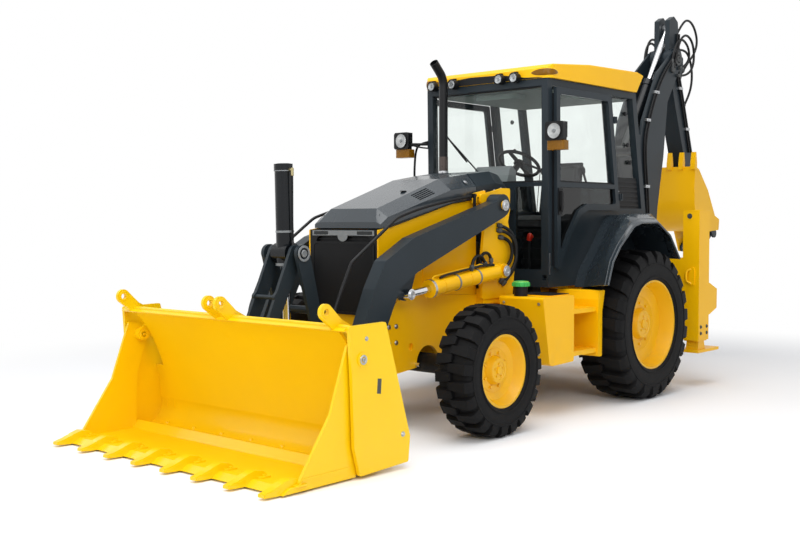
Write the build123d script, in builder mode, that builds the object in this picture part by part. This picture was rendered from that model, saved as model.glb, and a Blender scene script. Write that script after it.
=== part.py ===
"""Backhoe loader with a multipurpose front bucket and a sideshift backhoe.

Millimetres. The front faces -Y, the machine's left is +X, the ground is Z = 0.
Side views are drawn on side(x), whose origin is on the ground under the front axle,
so a side-view point is (distance behind the front axle, height above the ground).
"""

import os

from build123d import *

os.makedirs("parts", exist_ok=True)

# ---------------------------------------------------------------- driving dimensions
AXLE_Y = -1541            # front axle, so that the whole machine is centred on the origin
WHEELBASE = 2200
FRONT_TYRE_R = 478
FRONT_TYRE_W = 300
REAR_TYRE_R = 648
REAR_TYRE_W = 440
FRONT_RIM_R = 265
REAR_RIM_R = 386
TYRE_OUTER_X = 1096       # outer sidewalls, front and rear
KINGPIN_X = 742
KINGPIN_R = 30
FIT = 0.4                 # clearance of pins, rods and seats
GAP = 6                   # clearance between pieces that move past each other

RAIL_X = 345              # middle of a frame rail plate
RAIL_T = 30
REAR_FRAME_Y = 3030       # front face of the backhoe frame
FRAME_TOP = 960

ARM_X = 515               # middle plane of a loader arm and its lift cylinder
ARM_W = 110
LOADER_PIVOT = (680, 1674)
LIFT_EYE = (700, 1155)
LIFT_ROD_EYE = (-400, 1025)
BUCKET_HINGE = (-1165, 245)
GUIDE_PIVOT = (-950, 695)
TILT_TRUNNION = (-1120, 1330)
BUCKET_LINK_PIN = (-1360, 830)
TILT_ROD_EYE = (-1100, 455)
CROSS_TUBE = (-920, 550)
PIN_R = 25
TOWER_X = ARM_X - ARM_W / 2 - 27   # middle of a loader tower's outline plate

BUCKET_HALF = 1165
BUCKET_END_T = 25
CLAM_PIVOT = (-1568, 725)
CLAM_LEVER = (-1440, 850)
CLAM_BASE = (-1225, 240)
FORK_EAR = (-1753, 1015)
TEETH = 8
TOOTH_PITCH = (2 * BUCKET_HALF - 188) / (TEETH - 1)

CAB_HALF = 640
ROOF_Z = 2720
ROOF_HALF = 670
HOOD_HINGE = (-474, 1506)
HOOD_END = 600             # rear seam of the hood; the fixed cowl starts behind it

COLUMN_X = (926, 1090)
COLUMN_Y = (REAR_FRAME_Y, REAR_FRAME_Y + 207)
COLUMN_Z = (434, 1640)

SWING_Y = 3500
BOOM_FOOT = (3780, 800)
BOOM_CYL_LOW = (3740, 1050)
BOOM_CYL_HIGH = (3800, 1950)
KNEE = (4410, 3276)
CROWD_BASE = (3560, 2260)
CROWD_EYE = (4460, 3620)
DIPPER_END = (5080, 1520)
ROCKER_PIVOT = (4990, 1760)
ROCKER_EYE = (5310, 1400)
BUCKET_CYL_EYE = (4630, 3250)
HOE_LINK_PIN = (5080, 1240)
HOE_BUCKET_HALF = 300


# ---------------------------------------------------------------- drawing helpers
def side(x):
    """Side view plane at x."""
    return Plane(origin=(x, AXLE_Y, 0), x_dir=(0, 1, 0), z_dir=(1, 0, 0))


def across(y):
    """Front view plane, y behind the front axle, with its normal to the front."""
    return Plane(origin=(0, AXLE_Y + y, 0), x_dir=(1, 0, 0), z_dir=(0, -1, 0))


def level(z):
    """Plan view plane at height z."""
    return Plane(origin=(0, AXLE_Y, z))


def disc(point, radius, x, width, mode=Mode.ADD):
    """A round boss, pin or bore on a crosswise axis, with its middle at x."""
    with BuildSketch(side(x)) as profile:
        with Locations(point):
            Circle(radius)
    extrude(profile.sketch, amount=width / 2, both=True, mode=mode)


def plate(points, x, width, radius=0, mode=Mode.ADD):
    """A plate cut to a side-view outline, with its middle at x."""
    with BuildSketch(side(x)) as profile:
        with BuildLine():
            if radius:
                FilletPolyline(*points, radius=radius, close=True)
            else:
                Polyline(*points, close=True)
        make_face()
    extrude(profile.sketch, amount=width / 2, both=True, mode=mode)


def block(xs, ys, zs, mode=Mode.ADD):
    """A straight block between two stations on each axis."""
    middle = ((xs[0] + xs[1]) / 2, AXLE_Y + (ys[0] + ys[1]) / 2, (zs[0] + zs[1]) / 2)
    with Locations(Location(middle)):
        Box(xs[1] - xs[0], ys[1] - ys[0], zs[1] - zs[0], mode=mode)


def link_plate(a, b, r_a, r_b, x, width, mode=Mode.ADD):
    """A tapered link plate with a round end at each of two side-view points."""
    with BuildSketch(side(x)) as profile:
        with Locations(a):
            Circle(r_a)
        with Locations(b):
            Circle(r_b)
        make_hull()
    extrude(profile.sketch, amount=width / 2, both=True, mode=mode)


def aim(a, b, x, start=0):
    """Plane on the line from side-view point a to b, at a distance start from a."""
    run = Vector(0, b[0] - a[0], b[1] - a[1]).normalized()
    origin = Vector(x, AXLE_Y + a[0], a[1]) + run * start
    return Plane(origin=origin, x_dir=(1, 0, 0), z_dir=run)


def between(a, b):
    """Length between two side-view points."""
    return Vector(b[0] - a[0], b[1] - a[1]).length


def bar(a, b, x, radius, start, end, mode=Mode.ADD):
    """A round bar on the line from a to b, between two distances from a."""
    with BuildSketch(aim(a, b, x, start)) as profile:
        Circle(radius)
    extrude(profile.sketch, amount=end - start, mode=mode)


def barrel(a, b, x, radius, rod_radius, length, eye_r, eye_w, wall=9):
    """A hydraulic barrel from its eye at a towards b: tube, gland nut, base and ports."""
    disc(a, eye_r, x, eye_w)
    bar(a, b, x, radius, eye_r * 0.7, length)
    bar(a, b, x, radius + 8, length - 70, length)
    bar(a, b, x, radius - wall, eye_r + 25, length - 60, mode=Mode.SUBTRACT)
    bar(a, b, x, rod_radius + FIT, length - 80, length + 5, mode=Mode.SUBTRACT)
    disc(a, PIN_R + FIT, x, eye_w + 40, mode=Mode.SUBTRACT)


def piston_rod(a, b, x, radius, start, eye_r, eye_w):
    """A piston rod that starts inside its barrel and ends at its eye at b."""
    bar(a, b, x, radius, start, between(a, b) - eye_r * 0.6)
    disc(b, eye_r, x, eye_w)


def strut(a, b, width, depth, mode=Mode.ADD):
    """A straight rectangular bar between two points in space, width along X."""
    start = Vector(a[0], AXLE_Y + a[1], a[2])
    end = Vector(b[0], AXLE_Y + b[1], b[2])
    with BuildSketch(Plane(origin=start, x_dir=(1, 0, 0), z_dir=end - start)) as profile:
        Rectangle(width, depth)
    extrude(profile.sketch, amount=(end - start).length, mode=mode)


def pipe(a, b, radius, mode=Mode.ADD):
    """A straight round tube or pin between two points in space."""
    start = Vector(a[0], AXLE_Y + a[1], a[2])
    end = Vector(b[0], AXLE_Y + b[1], b[2])
    with BuildSketch(Plane(origin=start, z_dir=end - start)) as profile:
        Circle(radius)
    extrude(profile.sketch, amount=(end - start).length, mode=mode)


# ---------------------------------------------------------------- main frame
with BuildPart() as main_frame:
    rail = [(-500, 470), (-350, 430), (120, 480), (700, 500), (2900, 560),
            (REAR_FRAME_Y - FIT, 562), (REAR_FRAME_Y - FIT, 900), (1300, 901), (760, 960), (-300, 1000), (-480, 860)]
    for x in (-RAIL_X, RAIL_X):
        plate(rail, x, RAIL_T, radius=20)
        disc((0, 480), 130, x, RAIL_T + 10, mode=Mode.SUBTRACT)
        disc((-196, 615), 28, x, RAIL_T + 10, mode=Mode.SUBTRACT)
        disc((WHEELBASE, REAR_TYRE_R), 110 + FIT, x, RAIL_T + 10, mode=Mode.SUBTRACT)
    inner = RAIL_X - RAIL_T / 2
    block((-inner, inner), (-500, -470), (470, 860))
    block((-inner, inner), (-205, -165), (470, 700))
    block((-inner, inner), (165, 205), (500, 700))
    pipe((-inner, 1570, 800), (inner, 1570, 800), 60)
    block((-inner, inner), (2700, 2740), (580, 880))
    pipe((0, -205, FRONT_TYRE_R), (0, 205, FRONT_TYRE_R), 35)

# ---------------------------------------------------------------- loader towers
TOWER = [(570, 930), (980, 930), (1015, 1210), (955, 1430), (915, 1540), (942, 1640),
         (942, 1815), (840, 1815), (700, 1785), (552, 1760), (552, 1700), (610, 1640),
         (575, 1300)]

with BuildPart() as loader_towers:
    for x in (-1, 1):
        plate(TOWER, x * TOWER_X, 24, radius=18)
        plate([(620, 930), (900, 930), (930, 1200), (860, 1500), (820, 1680), (700, 1680),
               (640, 1300)], x * (RAIL_X + 29), 16, radius=25)
        block(sorted((x * (RAIL_X + 25), x * (TOWER_X - 3))), (700, 716), (1012, 1660))
        block(sorted((x * (RAIL_X + 25), x * (TOWER_X - 3))), (860, 876), (1012, 1400))
        block(sorted((x * (RAIL_X + 15 + FIT), x * (TOWER_X - 3))), (600, 940), (890, 1012))
        disc(LOADER_PIVOT, 60, x * (TOWER_X + 17), 16)
        disc(LOADER_PIVOT, PIN_R, x * (ARM_X - 5), ARM_W + 40)
        disc(LOADER_PIVOT, 36, x * (ARM_X + ARM_W / 2 + 11), 16)
        disc(LIFT_EYE, 60, x * (TOWER_X + 13), 14)
        disc(LIFT_EYE, PIN_R, x * (ARM_X - 5), ARM_W + 50)
        disc(LIFT_EYE, 36, x * (ARM_X + ARM_W / 2 + 14), 12)

# ---------------------------------------------------------------- engine
with BuildPart() as engine:
    block((-270, 270), (-420, 760), (760, 1380))
    block((-200, 200), (760, 1500), (640, 960))
    for y in (120, 580, 1200):
        block((-(RAIL_X - 15 - FIT), RAIL_X - 15 - FIT), (y - 20, y + 20), (760, 800))

# ---------------------------------------------------------------- hood, grille and side panels
HOOD_STATIONS = [          # behind axle, low half, low z, crease half, crease z, top half, top z
    (-505, 340, 1500, 340, 1528, 296, 1545),
    (-433, 346, 1510, 346, 1580, 237, 1645),
    (278, 360, 1690, 360, 1789, 240, 1880),
    (HOOD_END, 360, 1730, 360, 1824, 265, 1926),
]
COWL_STATIONS = [
    (HOOD_END + 8, 360, 1731, 360, 1826, 266, 1927),
    (860, 360, 1765, 360, 1858, 288, 1956),
    (985, 360, 1770, 354, 1848, 288, 1930),
    (1062, 356, 1775, 344, 1806, 284, 1846),
]


def hood_loft(inset, stations, mode=Mode.ADD):
    """Loft the hood's six-sided section through its stations, smaller by inset."""
    for first, last in zip(stations[:-1], stations[1:]):
        ends = []
        for row in (first, last):
            y, low_w, low_z, mid_w, mid_z, top_w, top_z = row
            with BuildSketch(across(y)) as profile:
                with BuildLine():
                    Polyline((-(low_w - inset), low_z - 3 * bool(inset)),
                             (-(mid_w - inset), mid_z - inset * 0.6),
                             (-(top_w - inset * 0.8), top_z - inset),
                             (top_w - inset * 0.8, top_z - inset),
                             (mid_w - inset, mid_z - inset * 0.6),
                             (low_w - inset, low_z - 3 * bool(inset)), close=True)
                make_face()
            ends.append(profile.sketch)
        loft(ends, ruled=True, mode=mode)


def vent_plane(x_sign):
    """Plane on the hood's slanted flank, x_dir along the flank and z_dir out of it."""
    low = Vector(x_sign * 360, AXLE_Y + 20, 1715)
    top = Vector(x_sign * 240, AXLE_Y + 20, 1805)
    run = Vector(0, 711, 228).normalized()
    out = run.cross(top - low) if x_sign > 0 else (top - low).cross(run)
    return Plane(origin=(low + top) * 0.5 + Vector(0, 0, 1), x_dir=run, z_dir=out * -1)


with BuildPart() as hood:
    hood_loft(0, HOOD_STATIONS)
    hood_loft(10, [(-495,) + HOOD_STATIONS[0][1:]] + HOOD_STATIONS[1:-1]
              + [(HOOD_END - 8,) + HOOD_STATIONS[-1][1:]], mode=Mode.SUBTRACT)
    for x in (-1, 1):
        with BuildSketch(vent_plane(x)):
            for i in range(5):
                with Locations((i * 3 - 6, 18 * i - 36)):
                    Rectangle(190, 10)
        extrude(amount=40, both=True, mode=Mode.SUBTRACT)
        # hinge lugs under the front edge
        for lug_x in (x * 214, x * 286):
            plate([(-494, 1540), (-455, 1602), (-452, 1500), (-474, 1482), (-488, 1495)], lug_x, 8)
            disc(HOOD_HINGE, 22, lug_x, 8)
            disc(HOOD_HINGE, 9 + FIT, lug_x, 20, mode=Mode.SUBTRACT)
    with BuildSketch(level(1905)):
        with Locations((150, -40)):
            Ellipse(28, 60)
    extrude(amount=-80, mode=Mode.SUBTRACT)

with BuildPart() as grille:
    plate([(-548, 1490), (-510, 1490), (-510, 870), (-500.4, 862), (-540, 862)], 0, 691.2)
    with BuildSketch(across(-552)):
        with Locations((0, 1250)):
            RectangleRounded(560, 380, 40)
    extrude(amount=-40, mode=Mode.SUBTRACT)
    with BuildSketch(across(-520)):
        with Locations(*[(0, 1080 + 34 * i) for i in range(11)]):
            Rectangle(600, 8)
    extrude(amount=10)
    block((-329, 329), (-520, -500.4), (862, 1480))
    block((-320, 320), (-501, -475), (860 + FIT, 880))
    for x in (-250, 250):
        block((x - 28, x + 28), (-501, -440), (1360, 1410))
        plate([(-480, 1409), (-440, 1409), (-446, 1500), (-474, 1500), (-470, 1470)], x, 56)
        disc(HOOD_HINGE, 15, x, 56)
        disc(HOOD_HINGE, 9, x, 92)

with BuildPart() as hood_side_panels:
    panel = [(-548, 1488), (-548, 1080), (-478, 880), (-300, 1001), (600, 968), (600, 1540),
             (640, 1660), (640, 1732), (278, 1684), (-433, 1504)]
    pressed = [(-60, 1060), (420, 1040), (420, 1240), (180, 1330), (-60, 1230)]
    for x in (-1, 1):
        plate(panel, x * 352, 12, radius=8)
        plate(pressed, x * 360, 10, radius=50, mode=Mode.ADD)
        for y in (-360, 120):
            block(sorted((x * (270 + FIT), x * 348)), (y - 20, y + 20), (1320, 1370))

with BuildPart() as exhaust_stack:
    with BuildLine(side(-330)) as stack:
        FilletPolyline((1035, 1300), (1035, 2780), (905, 2905), radius=150)
    with BuildSketch(Plane(origin=stack.line @ 0, z_dir=stack.line % 0)):
        Circle(38)
    sweep(path=stack.line)
    with BuildSketch(Plane(origin=stack.line @ 1, z_dir=stack.line % 1)):
        Circle(33)
    extrude(amount=-60, mode=Mode.SUBTRACT)
    pipe((-330, 1035, 1320), (-330, 1035, 1925), 52)
    block((-345, -265), (1040, 1095), (1400, 1460))
    block((-295, -265), (1090, 1215 - FIT), (1400, 1460))

# ---------------------------------------------------------------- cab
A_LOW = (1250, 1102)
A_TOP = (1224, ROOF_Z - 15)
B_TOP = (2152, ROOF_Z - 15)
C_LOW = (2800, 1635)
C_TOP = (2603, ROOF_Z - 15)
POST = 60

SIDE_WALL = [(1215, 1000), (2835, 1000), (2835, 1660), (1750, 1660), (1620, 1612), (1468, 1448),
             (1312, 1180), (1215, 1180)]
DOOR_X = CAB_HALF + 27
GLASS_X = CAB_HALF + 9.1

DOOR_HINGE_X = 684
HINGE_LEVELS = (1760, 2440)


def hinge_point(z):
    """Side-view point of the door's hinge line, just behind the door's rear edge."""
    return (2310 - (z - 1640) * 160 / 1010, z)


with BuildPart() as cab_shell:
    inside = CAB_HALF - POST
    for x in (-1, 1):
        mid = x * (CAB_HALF - POST / 2)
        strut((mid, *A_LOW), (mid, *A_TOP), POST, 70)
        strut((mid, 2321, 1640), (mid, *B_TOP), POST, 70)
        strut((mid, *C_LOW), (mid, *C_TOP), POST, 70)
        plate(SIDE_WALL, x * (CAB_HALF - 10), 20)
        block(sorted((x * inside, x * CAB_HALF)), (2286, 2835), (1600, 1640))
        block(sorted((x * inside, x * CAB_HALF)), (1215, 2835), (1000, 1060))
        block(sorted((x * inside, x * CAB_HALF)), (1190, 2635), (ROOF_Z - 60, ROOF_Z))
        for z in HINGE_LEVELS:
            hinge = hinge_point(z)
            block(sorted((x * (CAB_HALF - 5), x * (DOOR_HINGE_X + 8))), (hinge[0] + 22, hinge[0] + 38),
                  (z - 30, z + 30))
            pipe((x * DOOR_HINGE_X, *hinge_point(z - 30)), (x * DOOR_HINGE_X, *hinge_point(z + 30)), 9)
            block(sorted((x * (DOOR_HINGE_X - 8), x * (DOOR_HINGE_X + 8))),
                  (hinge[0], hinge[0] + 38), (z - 30, z - 22))
    block((-inside, inside), (1215, 2835), (1000, 1030))
    block((-inside, inside), (1215, 1235), (1000, 1872))
    for x in (-1, 1):
        block(sorted((x * 300, x * 565)), (1200, 1250), (1145, 1838), mode=Mode.SUBTRACT)
    hood_loft(0, COWL_STATIONS)
    hood_loft(10, COWL_STATIONS[:-1] + [(1054,) + COWL_STATIONS[-1][1:]], mode=Mode.SUBTRACT)
    block((-290, 290), (1050, 1216), (1640, 1816))
    block((-280, 280), (1040, 1206), (1630, 1806), mode=Mode.SUBTRACT)
    pipe((-330, 1035, 1600), (-330, 1035, 2000), 62, mode=Mode.SUBTRACT)
    block((-inside, inside), (2805, 2835), (1000, 1640))
    block((-inside, inside), (1190, 1260), (ROOF_Z - 60, ROOF_Z))
    block((-inside, inside), (2565, 2635), (ROOF_Z - 60, ROOF_Z))
    for x in (-345, 345):
        for y in (1380, 2560):
            block((x - 25, x + 25), (y, y + 120), (901 + FIT, 1000))

with BuildPart() as cab_glass:
    pane = CAB_HALF - POST - FIT
    block((-pane, pane), (1218, 1224), (1872 + FIT, ROOF_Z - 60 - FIT))
    plate([(2793, 1640 + FIT), (2801, 1640 + FIT), (2614, ROOF_Z - 60 - FIT),
           (2606, ROOF_Z - 60 - FIT)], 0, 2 * pane)
    for x in (-1, 1):
        block(sorted((x * (300 + FIT), x * (565 - FIT))), (1221, 1227),
              (1145 + FIT, 1838 - FIT))
        plate([(2365, 1640 + FIT), (2755, 1640 + FIT), (2568, ROOF_Z - 60 - FIT),
               (2203, ROOF_Z - 60 - FIT)], x * (CAB_HALF - 34), 6)

with BuildPart() as cab_roof:
    plate([(1180, ROOF_Z + FIT), (2600, ROOF_Z + FIT), (2720, 2880), (2600, 2905), (1800, 2885),
           (1230, 2835), (1180, 2800)], 0, 2 * ROOF_HALF)
    fillet(cab_roof.edges().filter_by(Axis.Z), radius=70)
    fillet(cab_roof.faces().sort_by(Axis.Z)[-1].edges(), radius=10)

with BuildPart() as lamps:
    for x in (-540, -310, 190, 345):
        # round work lamps on short brackets under the front of the roof
        with BuildSketch(across(1120)):
            with Locations((x, 2738)):
                Circle(42)
        extrude(amount=-55)
        with BuildSketch(across(1120)):
            with Locations((x, 2738)):
                Circle(36)
        extrude(amount=-8, mode=Mode.SUBTRACT)
        block((x - 12, x + 12), (1150, 1180 - FIT), (2745, 2790))
    for x in (-1, 1):
        block(sorted((x * (CAB_HALF + FIT), x * (CAB_HALF + 10))), (1202, 1258), (2210, 2270))
        pipe((x * (CAB_HALF + 9), 1230, 2240), (x * 800, 1100, 2240), 12)
        block(sorted((x * 775, x * 865)), (1060, 1140), (2220, 2345))
        block(sorted((x * 778, x * 862)), (1066, 1134), (2160, 2222))

# ---------------------------------------------------------------- doors
DOOR = [(1285, 1150), (1330, 1150), (1490, 1425), (1640, 1595), (1765, 1640), (2296, 1640),
        (2136, ROOF_Z - 70), (1262, ROOF_Z - 70)]
DOOR_OPENING = [(1335, 1245), (1447, 1440), (1610, 1640), (1745, 1695), (2225, 1695),
                (2080, 2595), (1315, 2595)]
DOOR_PANE = [(1320, 1210), (1455, 1412), (1620, 1622), (1750, 1675), (2245, 1675),
             (2095, 2615), (1298, 2615)]

with BuildPart() as door_left:
    plate(DOOR, DOOR_X, 30, radius=15)
    plate(DOOR_OPENING, DOOR_X, 40, radius=25, mode=Mode.SUBTRACT)
    block((DOOR_X - 15, DOOR_X + 15), (1290, 2200), (1830, 1870))

with BuildPart() as door_right:
    add(mirror(door_left.part, about=Plane.YZ))

with BuildPart() as door_glass_left:
    plate(DOOR_PANE, GLASS_X, 5, radius=20)

with BuildPart() as door_glass_right:
    add(mirror(door_glass_left.part, about=Plane.YZ))

# ---------------------------------------------------------------- inside the cab
with BuildPart() as operator_chair:
    block((-150, 150), (1930, 2200), (1030 + FIT, 1470))
    with Locations(Location((0, AXLE_Y + 2060, 1530))):
        Box(500, 500, 140)
    plate([(2270, 1500), (2370, 1500), (2450, 2100), (2370, 2115)], 0, 460, radius=30)
    fillet(operator_chair.edges().filter_by(Axis.X).group_by(SortBy.LENGTH)[-1], radius=20)

with BuildPart() as controls:
    block((-200, 200), (1235 + FIT, 1400), (1030 + FIT, 1860))
    pipe((0, 1390, 1800), (0, 1700, 2058), 26)
    with Locations(Plane(origin=(0, AXLE_Y + 1702, 2060), z_dir=(0, 0.55, 0.83)).location):
        Torus(185, 15)
        Box(345, 34, 14)
    block((-330, -120), (2520, 2700), (1030 + FIT, 1600))
    block((120, 330), (2520, 2700), (1030 + FIT, 1600))

# ---------------------------------------------------------------- fenders, tank and steps
FENDER_T = 12
FENDER_RINGS = [           # station across, then the arch behind the hub and above the ground
    (640.4, [(-588, 990), (-524, 1130), (-307, 1354), (-140, 1545), (-60, 1598), (200, 1600),
             (345, 1500), (492, 1215)]),
    (725, [(-588, 990), (-524, 1130), (-307, 1354), (-140, 1545), (-60, 1598), (200, 1600),
           (345, 1500), (492, 1215)]),
    (985, [(-750, 1022), (-685, 1228), (-565, 1390), (-360, 1572), (-240, 1610), (100, 1612),
           (310, 1490), (465, 1215)]),
    (1068, [(-808, 1028), (-734, 1220), (-618, 1350), (-390, 1534), (-265, 1566), (25, 1570),
            (255, 1440), (438, 1215)]),
    (1100, [(-820, 1030), (-742, 1218), (-626, 1344), (-396, 1512), (-270, 1538), (15, 1540),
            (240, 1425), (426, 1215)]),
]


def fender_section(x_sign, ring):
    """Section of a fender across x: its arch, and the same arch nearer to the wheel."""
    station, outline = ring
    hub = Vector(WHEELBASE, REAR_TYRE_R)
    arch = [(WHEELBASE + behind, z) for behind, z in outline]
    under = [Vector(*p) - (Vector(*p) - hub).normalized() * FENDER_T for p in reversed(arch)]
    with BuildSketch(side(x_sign * station)) as profile:
        with BuildLine():
            Polyline(*arch, *[(p.X, p.Y) for p in under], close=True)
        make_face()
    return profile.sketch


with BuildPart() as rear_fenders:
    for x in (-1, 1):
        for first, last in zip(FENDER_RINGS[:-1], FENDER_RINGS[1:]):
            loft([fender_section(x, first), fender_section(x, last)], ruled=True)

with BuildPart() as side_tank_and_steps:
    tank = [(660, 960), (1100, 960), (1100, 430), (790, 420), (750, 440)]
    for x in (-1, 1):
        plate(tank, x * 752, 416, radius=20)
        block(sorted((x * (RAIL_X + 15 + FIT), x * 545)), (820, 1060), (700, 780))
        block(sorted((x * 600, x * 930)), (800, 1080), (959, 968))
        plate([(1470, 430), (1530, 430), (1532, 800), (1575, 975), (1500, 975), (1470, 900)],
              x * 752, 416, radius=12)
        for z in (500, 840):
            block(sorted((x * 570, x * 940)), (1099, 1471), (z - 36, z))
        block(sorted((x * (RAIL_X + 15 + FIT), x * 545)), (1472, 1528), (640, 720))
    pipe((700, 735, 955), (700, 735, 1040), 52)
    pipe((700, 735, 1038), (700, 735, 1075), 62)

# ---------------------------------------------------------------- axles, knuckles, wheels
with BuildPart() as front_axle:
    pipe((-KINGPIN_X + 60, 0, FRONT_TYRE_R), (KINGPIN_X - 60, 0, FRONT_TYRE_R), 75)
    block((-130, 130), (-160, 160), (FRONT_TYRE_R - 85, FRONT_TYRE_R + 85))
    pipe((0, -170, FRONT_TYRE_R), (0, 170, FRONT_TYRE_R), 35 + FIT, mode=Mode.SUBTRACT)
    for x in (-1, 1):
        block(sorted((x * (KINGPIN_X - 80), x * KINGPIN_X)), (-40, 40),
              (FRONT_TYRE_R - 40, FRONT_TYRE_R + 40))
        pipe((x * KINGPIN_X, 0, FRONT_TYRE_R - 40), (x * KINGPIN_X, 0, FRONT_TYRE_R + 40),
             KINGPIN_R + 12)
        pipe((x * KINGPIN_X, 0, FRONT_TYRE_R - 60), (x * KINGPIN_X, 0, FRONT_TYRE_R + 60),
             KINGPIN_R + FIT, mode=Mode.SUBTRACT)

STUB_R = 45
STUB_END = KINGPIN_X + 215

with BuildPart() as knuckle_left:
    pipe((KINGPIN_X, 0, FRONT_TYRE_R - 90), (KINGPIN_X, 0, FRONT_TYRE_R + 90), KINGPIN_R)
    for z in (FRONT_TYRE_R - 68, FRONT_TYRE_R + 68):
        block((KINGPIN_X - 38, KINGPIN_X + 60), (-45, 45), (z - 22, z + 22))
    block((KINGPIN_X + 50, KINGPIN_X + 76), (-60, 60), (FRONT_TYRE_R - 90, FRONT_TYRE_R + 90))
    pipe((KINGPIN_X + 75, 0, FRONT_TYRE_R), (KINGPIN_X + 110, 0, FRONT_TYRE_R), 80)
    pipe((KINGPIN_X + 100, 0, FRONT_TYRE_R), (STUB_END, 0, FRONT_TYRE_R), STUB_R)

with BuildPart() as knuckle_right:
    add(mirror(knuckle_left.part, about=Plane.YZ))


def wheel_plane(x, y, z):
    """Section plane of a wheel: across the machine and up, from its centre."""
    return Plane(origin=(x, AXLE_Y + y, z), x_dir=(1, 0, 0), z_dir=(0, -1, 0))


def rim_solid(x, y, z, rim_r, half, disc_x, hub_in, hub_r):
    """A deep-dished rim: flanged well, disc at disc_x, and a hub that reaches in to the axle."""
    with BuildSketch(wheel_plane(x, y, z)) as profile:
        with BuildLine():
            Polyline((-half, rim_r - 26), (-half, rim_r), (-half + 10, rim_r),
                     (-half + 24, rim_r - 18), (half - 24, rim_r - 18), (half - 10, rim_r),
                     (half, rim_r), (half, rim_r - 16), (disc_x + 24, rim_r - 52),
                     (disc_x + 6, rim_r * 0.62), (disc_x + 6, hub_r + 20),
                     (disc_x + 50, hub_r), (disc_x + 50, 0), (hub_in, 0), (hub_in, hub_r),
                     (disc_x - 12, hub_r + 12), (disc_x - 12, rim_r * 0.64),
                     (disc_x - 4, rim_r - 44), close=True)
        make_face()
    revolve(profile.sketch, axis=Axis((x, AXLE_Y + y, z), (1, 0, 0)))


def tyre_solid(x, y, z, radius, half, rim_r):
    """A tyre with square shoulders, its beads on the rim's seats."""
    with BuildSketch(wheel_plane(x, y, z)) as profile:
        with BuildLine():
            Polyline((-half + 46, rim_r - 17.5), (-half + 32, rim_r + 0.5),
                     (-half + 18, rim_r + 0.5),
                     (-half + 8, rim_r + 30), (-half, (radius + rim_r) / 2),
                     (-half + 8, radius * 0.92), (-half + 42, radius * 0.985), (0, radius),
                     (half - 42, radius * 0.985), (half - 8, radius * 0.92),
                     (half, (radius + rim_r) / 2), (half - 8, rim_r + 30),
                     (half - 18, rim_r + 0.5), (half - 32, rim_r + 0.5),
                     (half - 46, rim_r - 17.5), close=True)
        make_face()
    revolve(profile.sketch, axis=Axis((x, AXLE_Y + y, z), (1, 0, 0)))


FRONT_HALF = FRONT_TYRE_W / 2
REAR_HALF = REAR_TYRE_W / 2
FRONT_X = TYRE_OUTER_X - FRONT_HALF
REAR_X = TYRE_OUTER_X - REAR_HALF
REAR_STUB_R = 50

with BuildPart() as rim_front_left:
    rim_solid(FRONT_X, 0, FRONT_TYRE_R, FRONT_RIM_R, FRONT_HALF - 22, 30, -70, 90)
    pipe((800, 0, FRONT_TYRE_R), (STUB_END + 4, 0, FRONT_TYRE_R), STUB_R + FIT,
         mode=Mode.SUBTRACT)

with BuildPart() as tyre_front_left:
    tyre_solid(FRONT_X, 0, FRONT_TYRE_R, FRONT_TYRE_R, FRONT_HALF, FRONT_RIM_R)

with BuildPart() as rim_front_right:
    add(mirror(rim_front_left.part, about=Plane.YZ))

with BuildPart() as tyre_front_right:
    add(mirror(tyre_front_left.part, about=Plane.YZ))

with BuildPart() as rear_axle:
    for x in (-1, 1):
        pipe((0, WHEELBASE, REAR_TYRE_R), (x * 690, WHEELBASE, REAR_TYRE_R), 110)
        pipe((0, WHEELBASE, REAR_TYRE_R), (x * 860, WHEELBASE, REAR_TYRE_R), REAR_STUB_R)
        block(sorted((x * 250, x * (RAIL_X - 15 - FIT))),
              (WHEELBASE - 120, WHEELBASE + 120), (562, 740))
    block((-160, 160), (WHEELBASE - 180, WHEELBASE + 180), (470, 840))
    pipe((0, 1500 + FIT, 690), (0, WHEELBASE - 180, 690), 40)

with BuildPart() as rim_rear_left:
    rim_solid(REAR_X, WHEELBASE, REAR_TYRE_R, REAR_RIM_R, REAR_HALF - 22, 50, -165, 120)
    pipe((690, WHEELBASE, REAR_TYRE_R), (864, WHEELBASE, REAR_TYRE_R), REAR_STUB_R + FIT,
         mode=Mode.SUBTRACT)

with BuildPart() as tyre_rear_left:
    tyre_solid(REAR_X, WHEELBASE, REAR_TYRE_R, REAR_TYRE_R, REAR_HALF, REAR_RIM_R)

with BuildPart() as rim_rear_right:
    add(mirror(rim_rear_left.part, about=Plane.YZ))

with BuildPart() as tyre_rear_right:
    add(mirror(tyre_rear_left.part, about=Plane.YZ))

# ---------------------------------------------------------------- loader
ARM = [(770, 1752), (-400, 1432), (-700, 1275), (-815, 1085), (-1040, 580), (-1235, 320),
       (-1230, 180), (-1110, 165), (-860, 500), (-645, 900), (-550, 1078), (-362, 1184),
       (720, 1592)]
GUIDE_X = 170
LINK_X = 104

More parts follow.
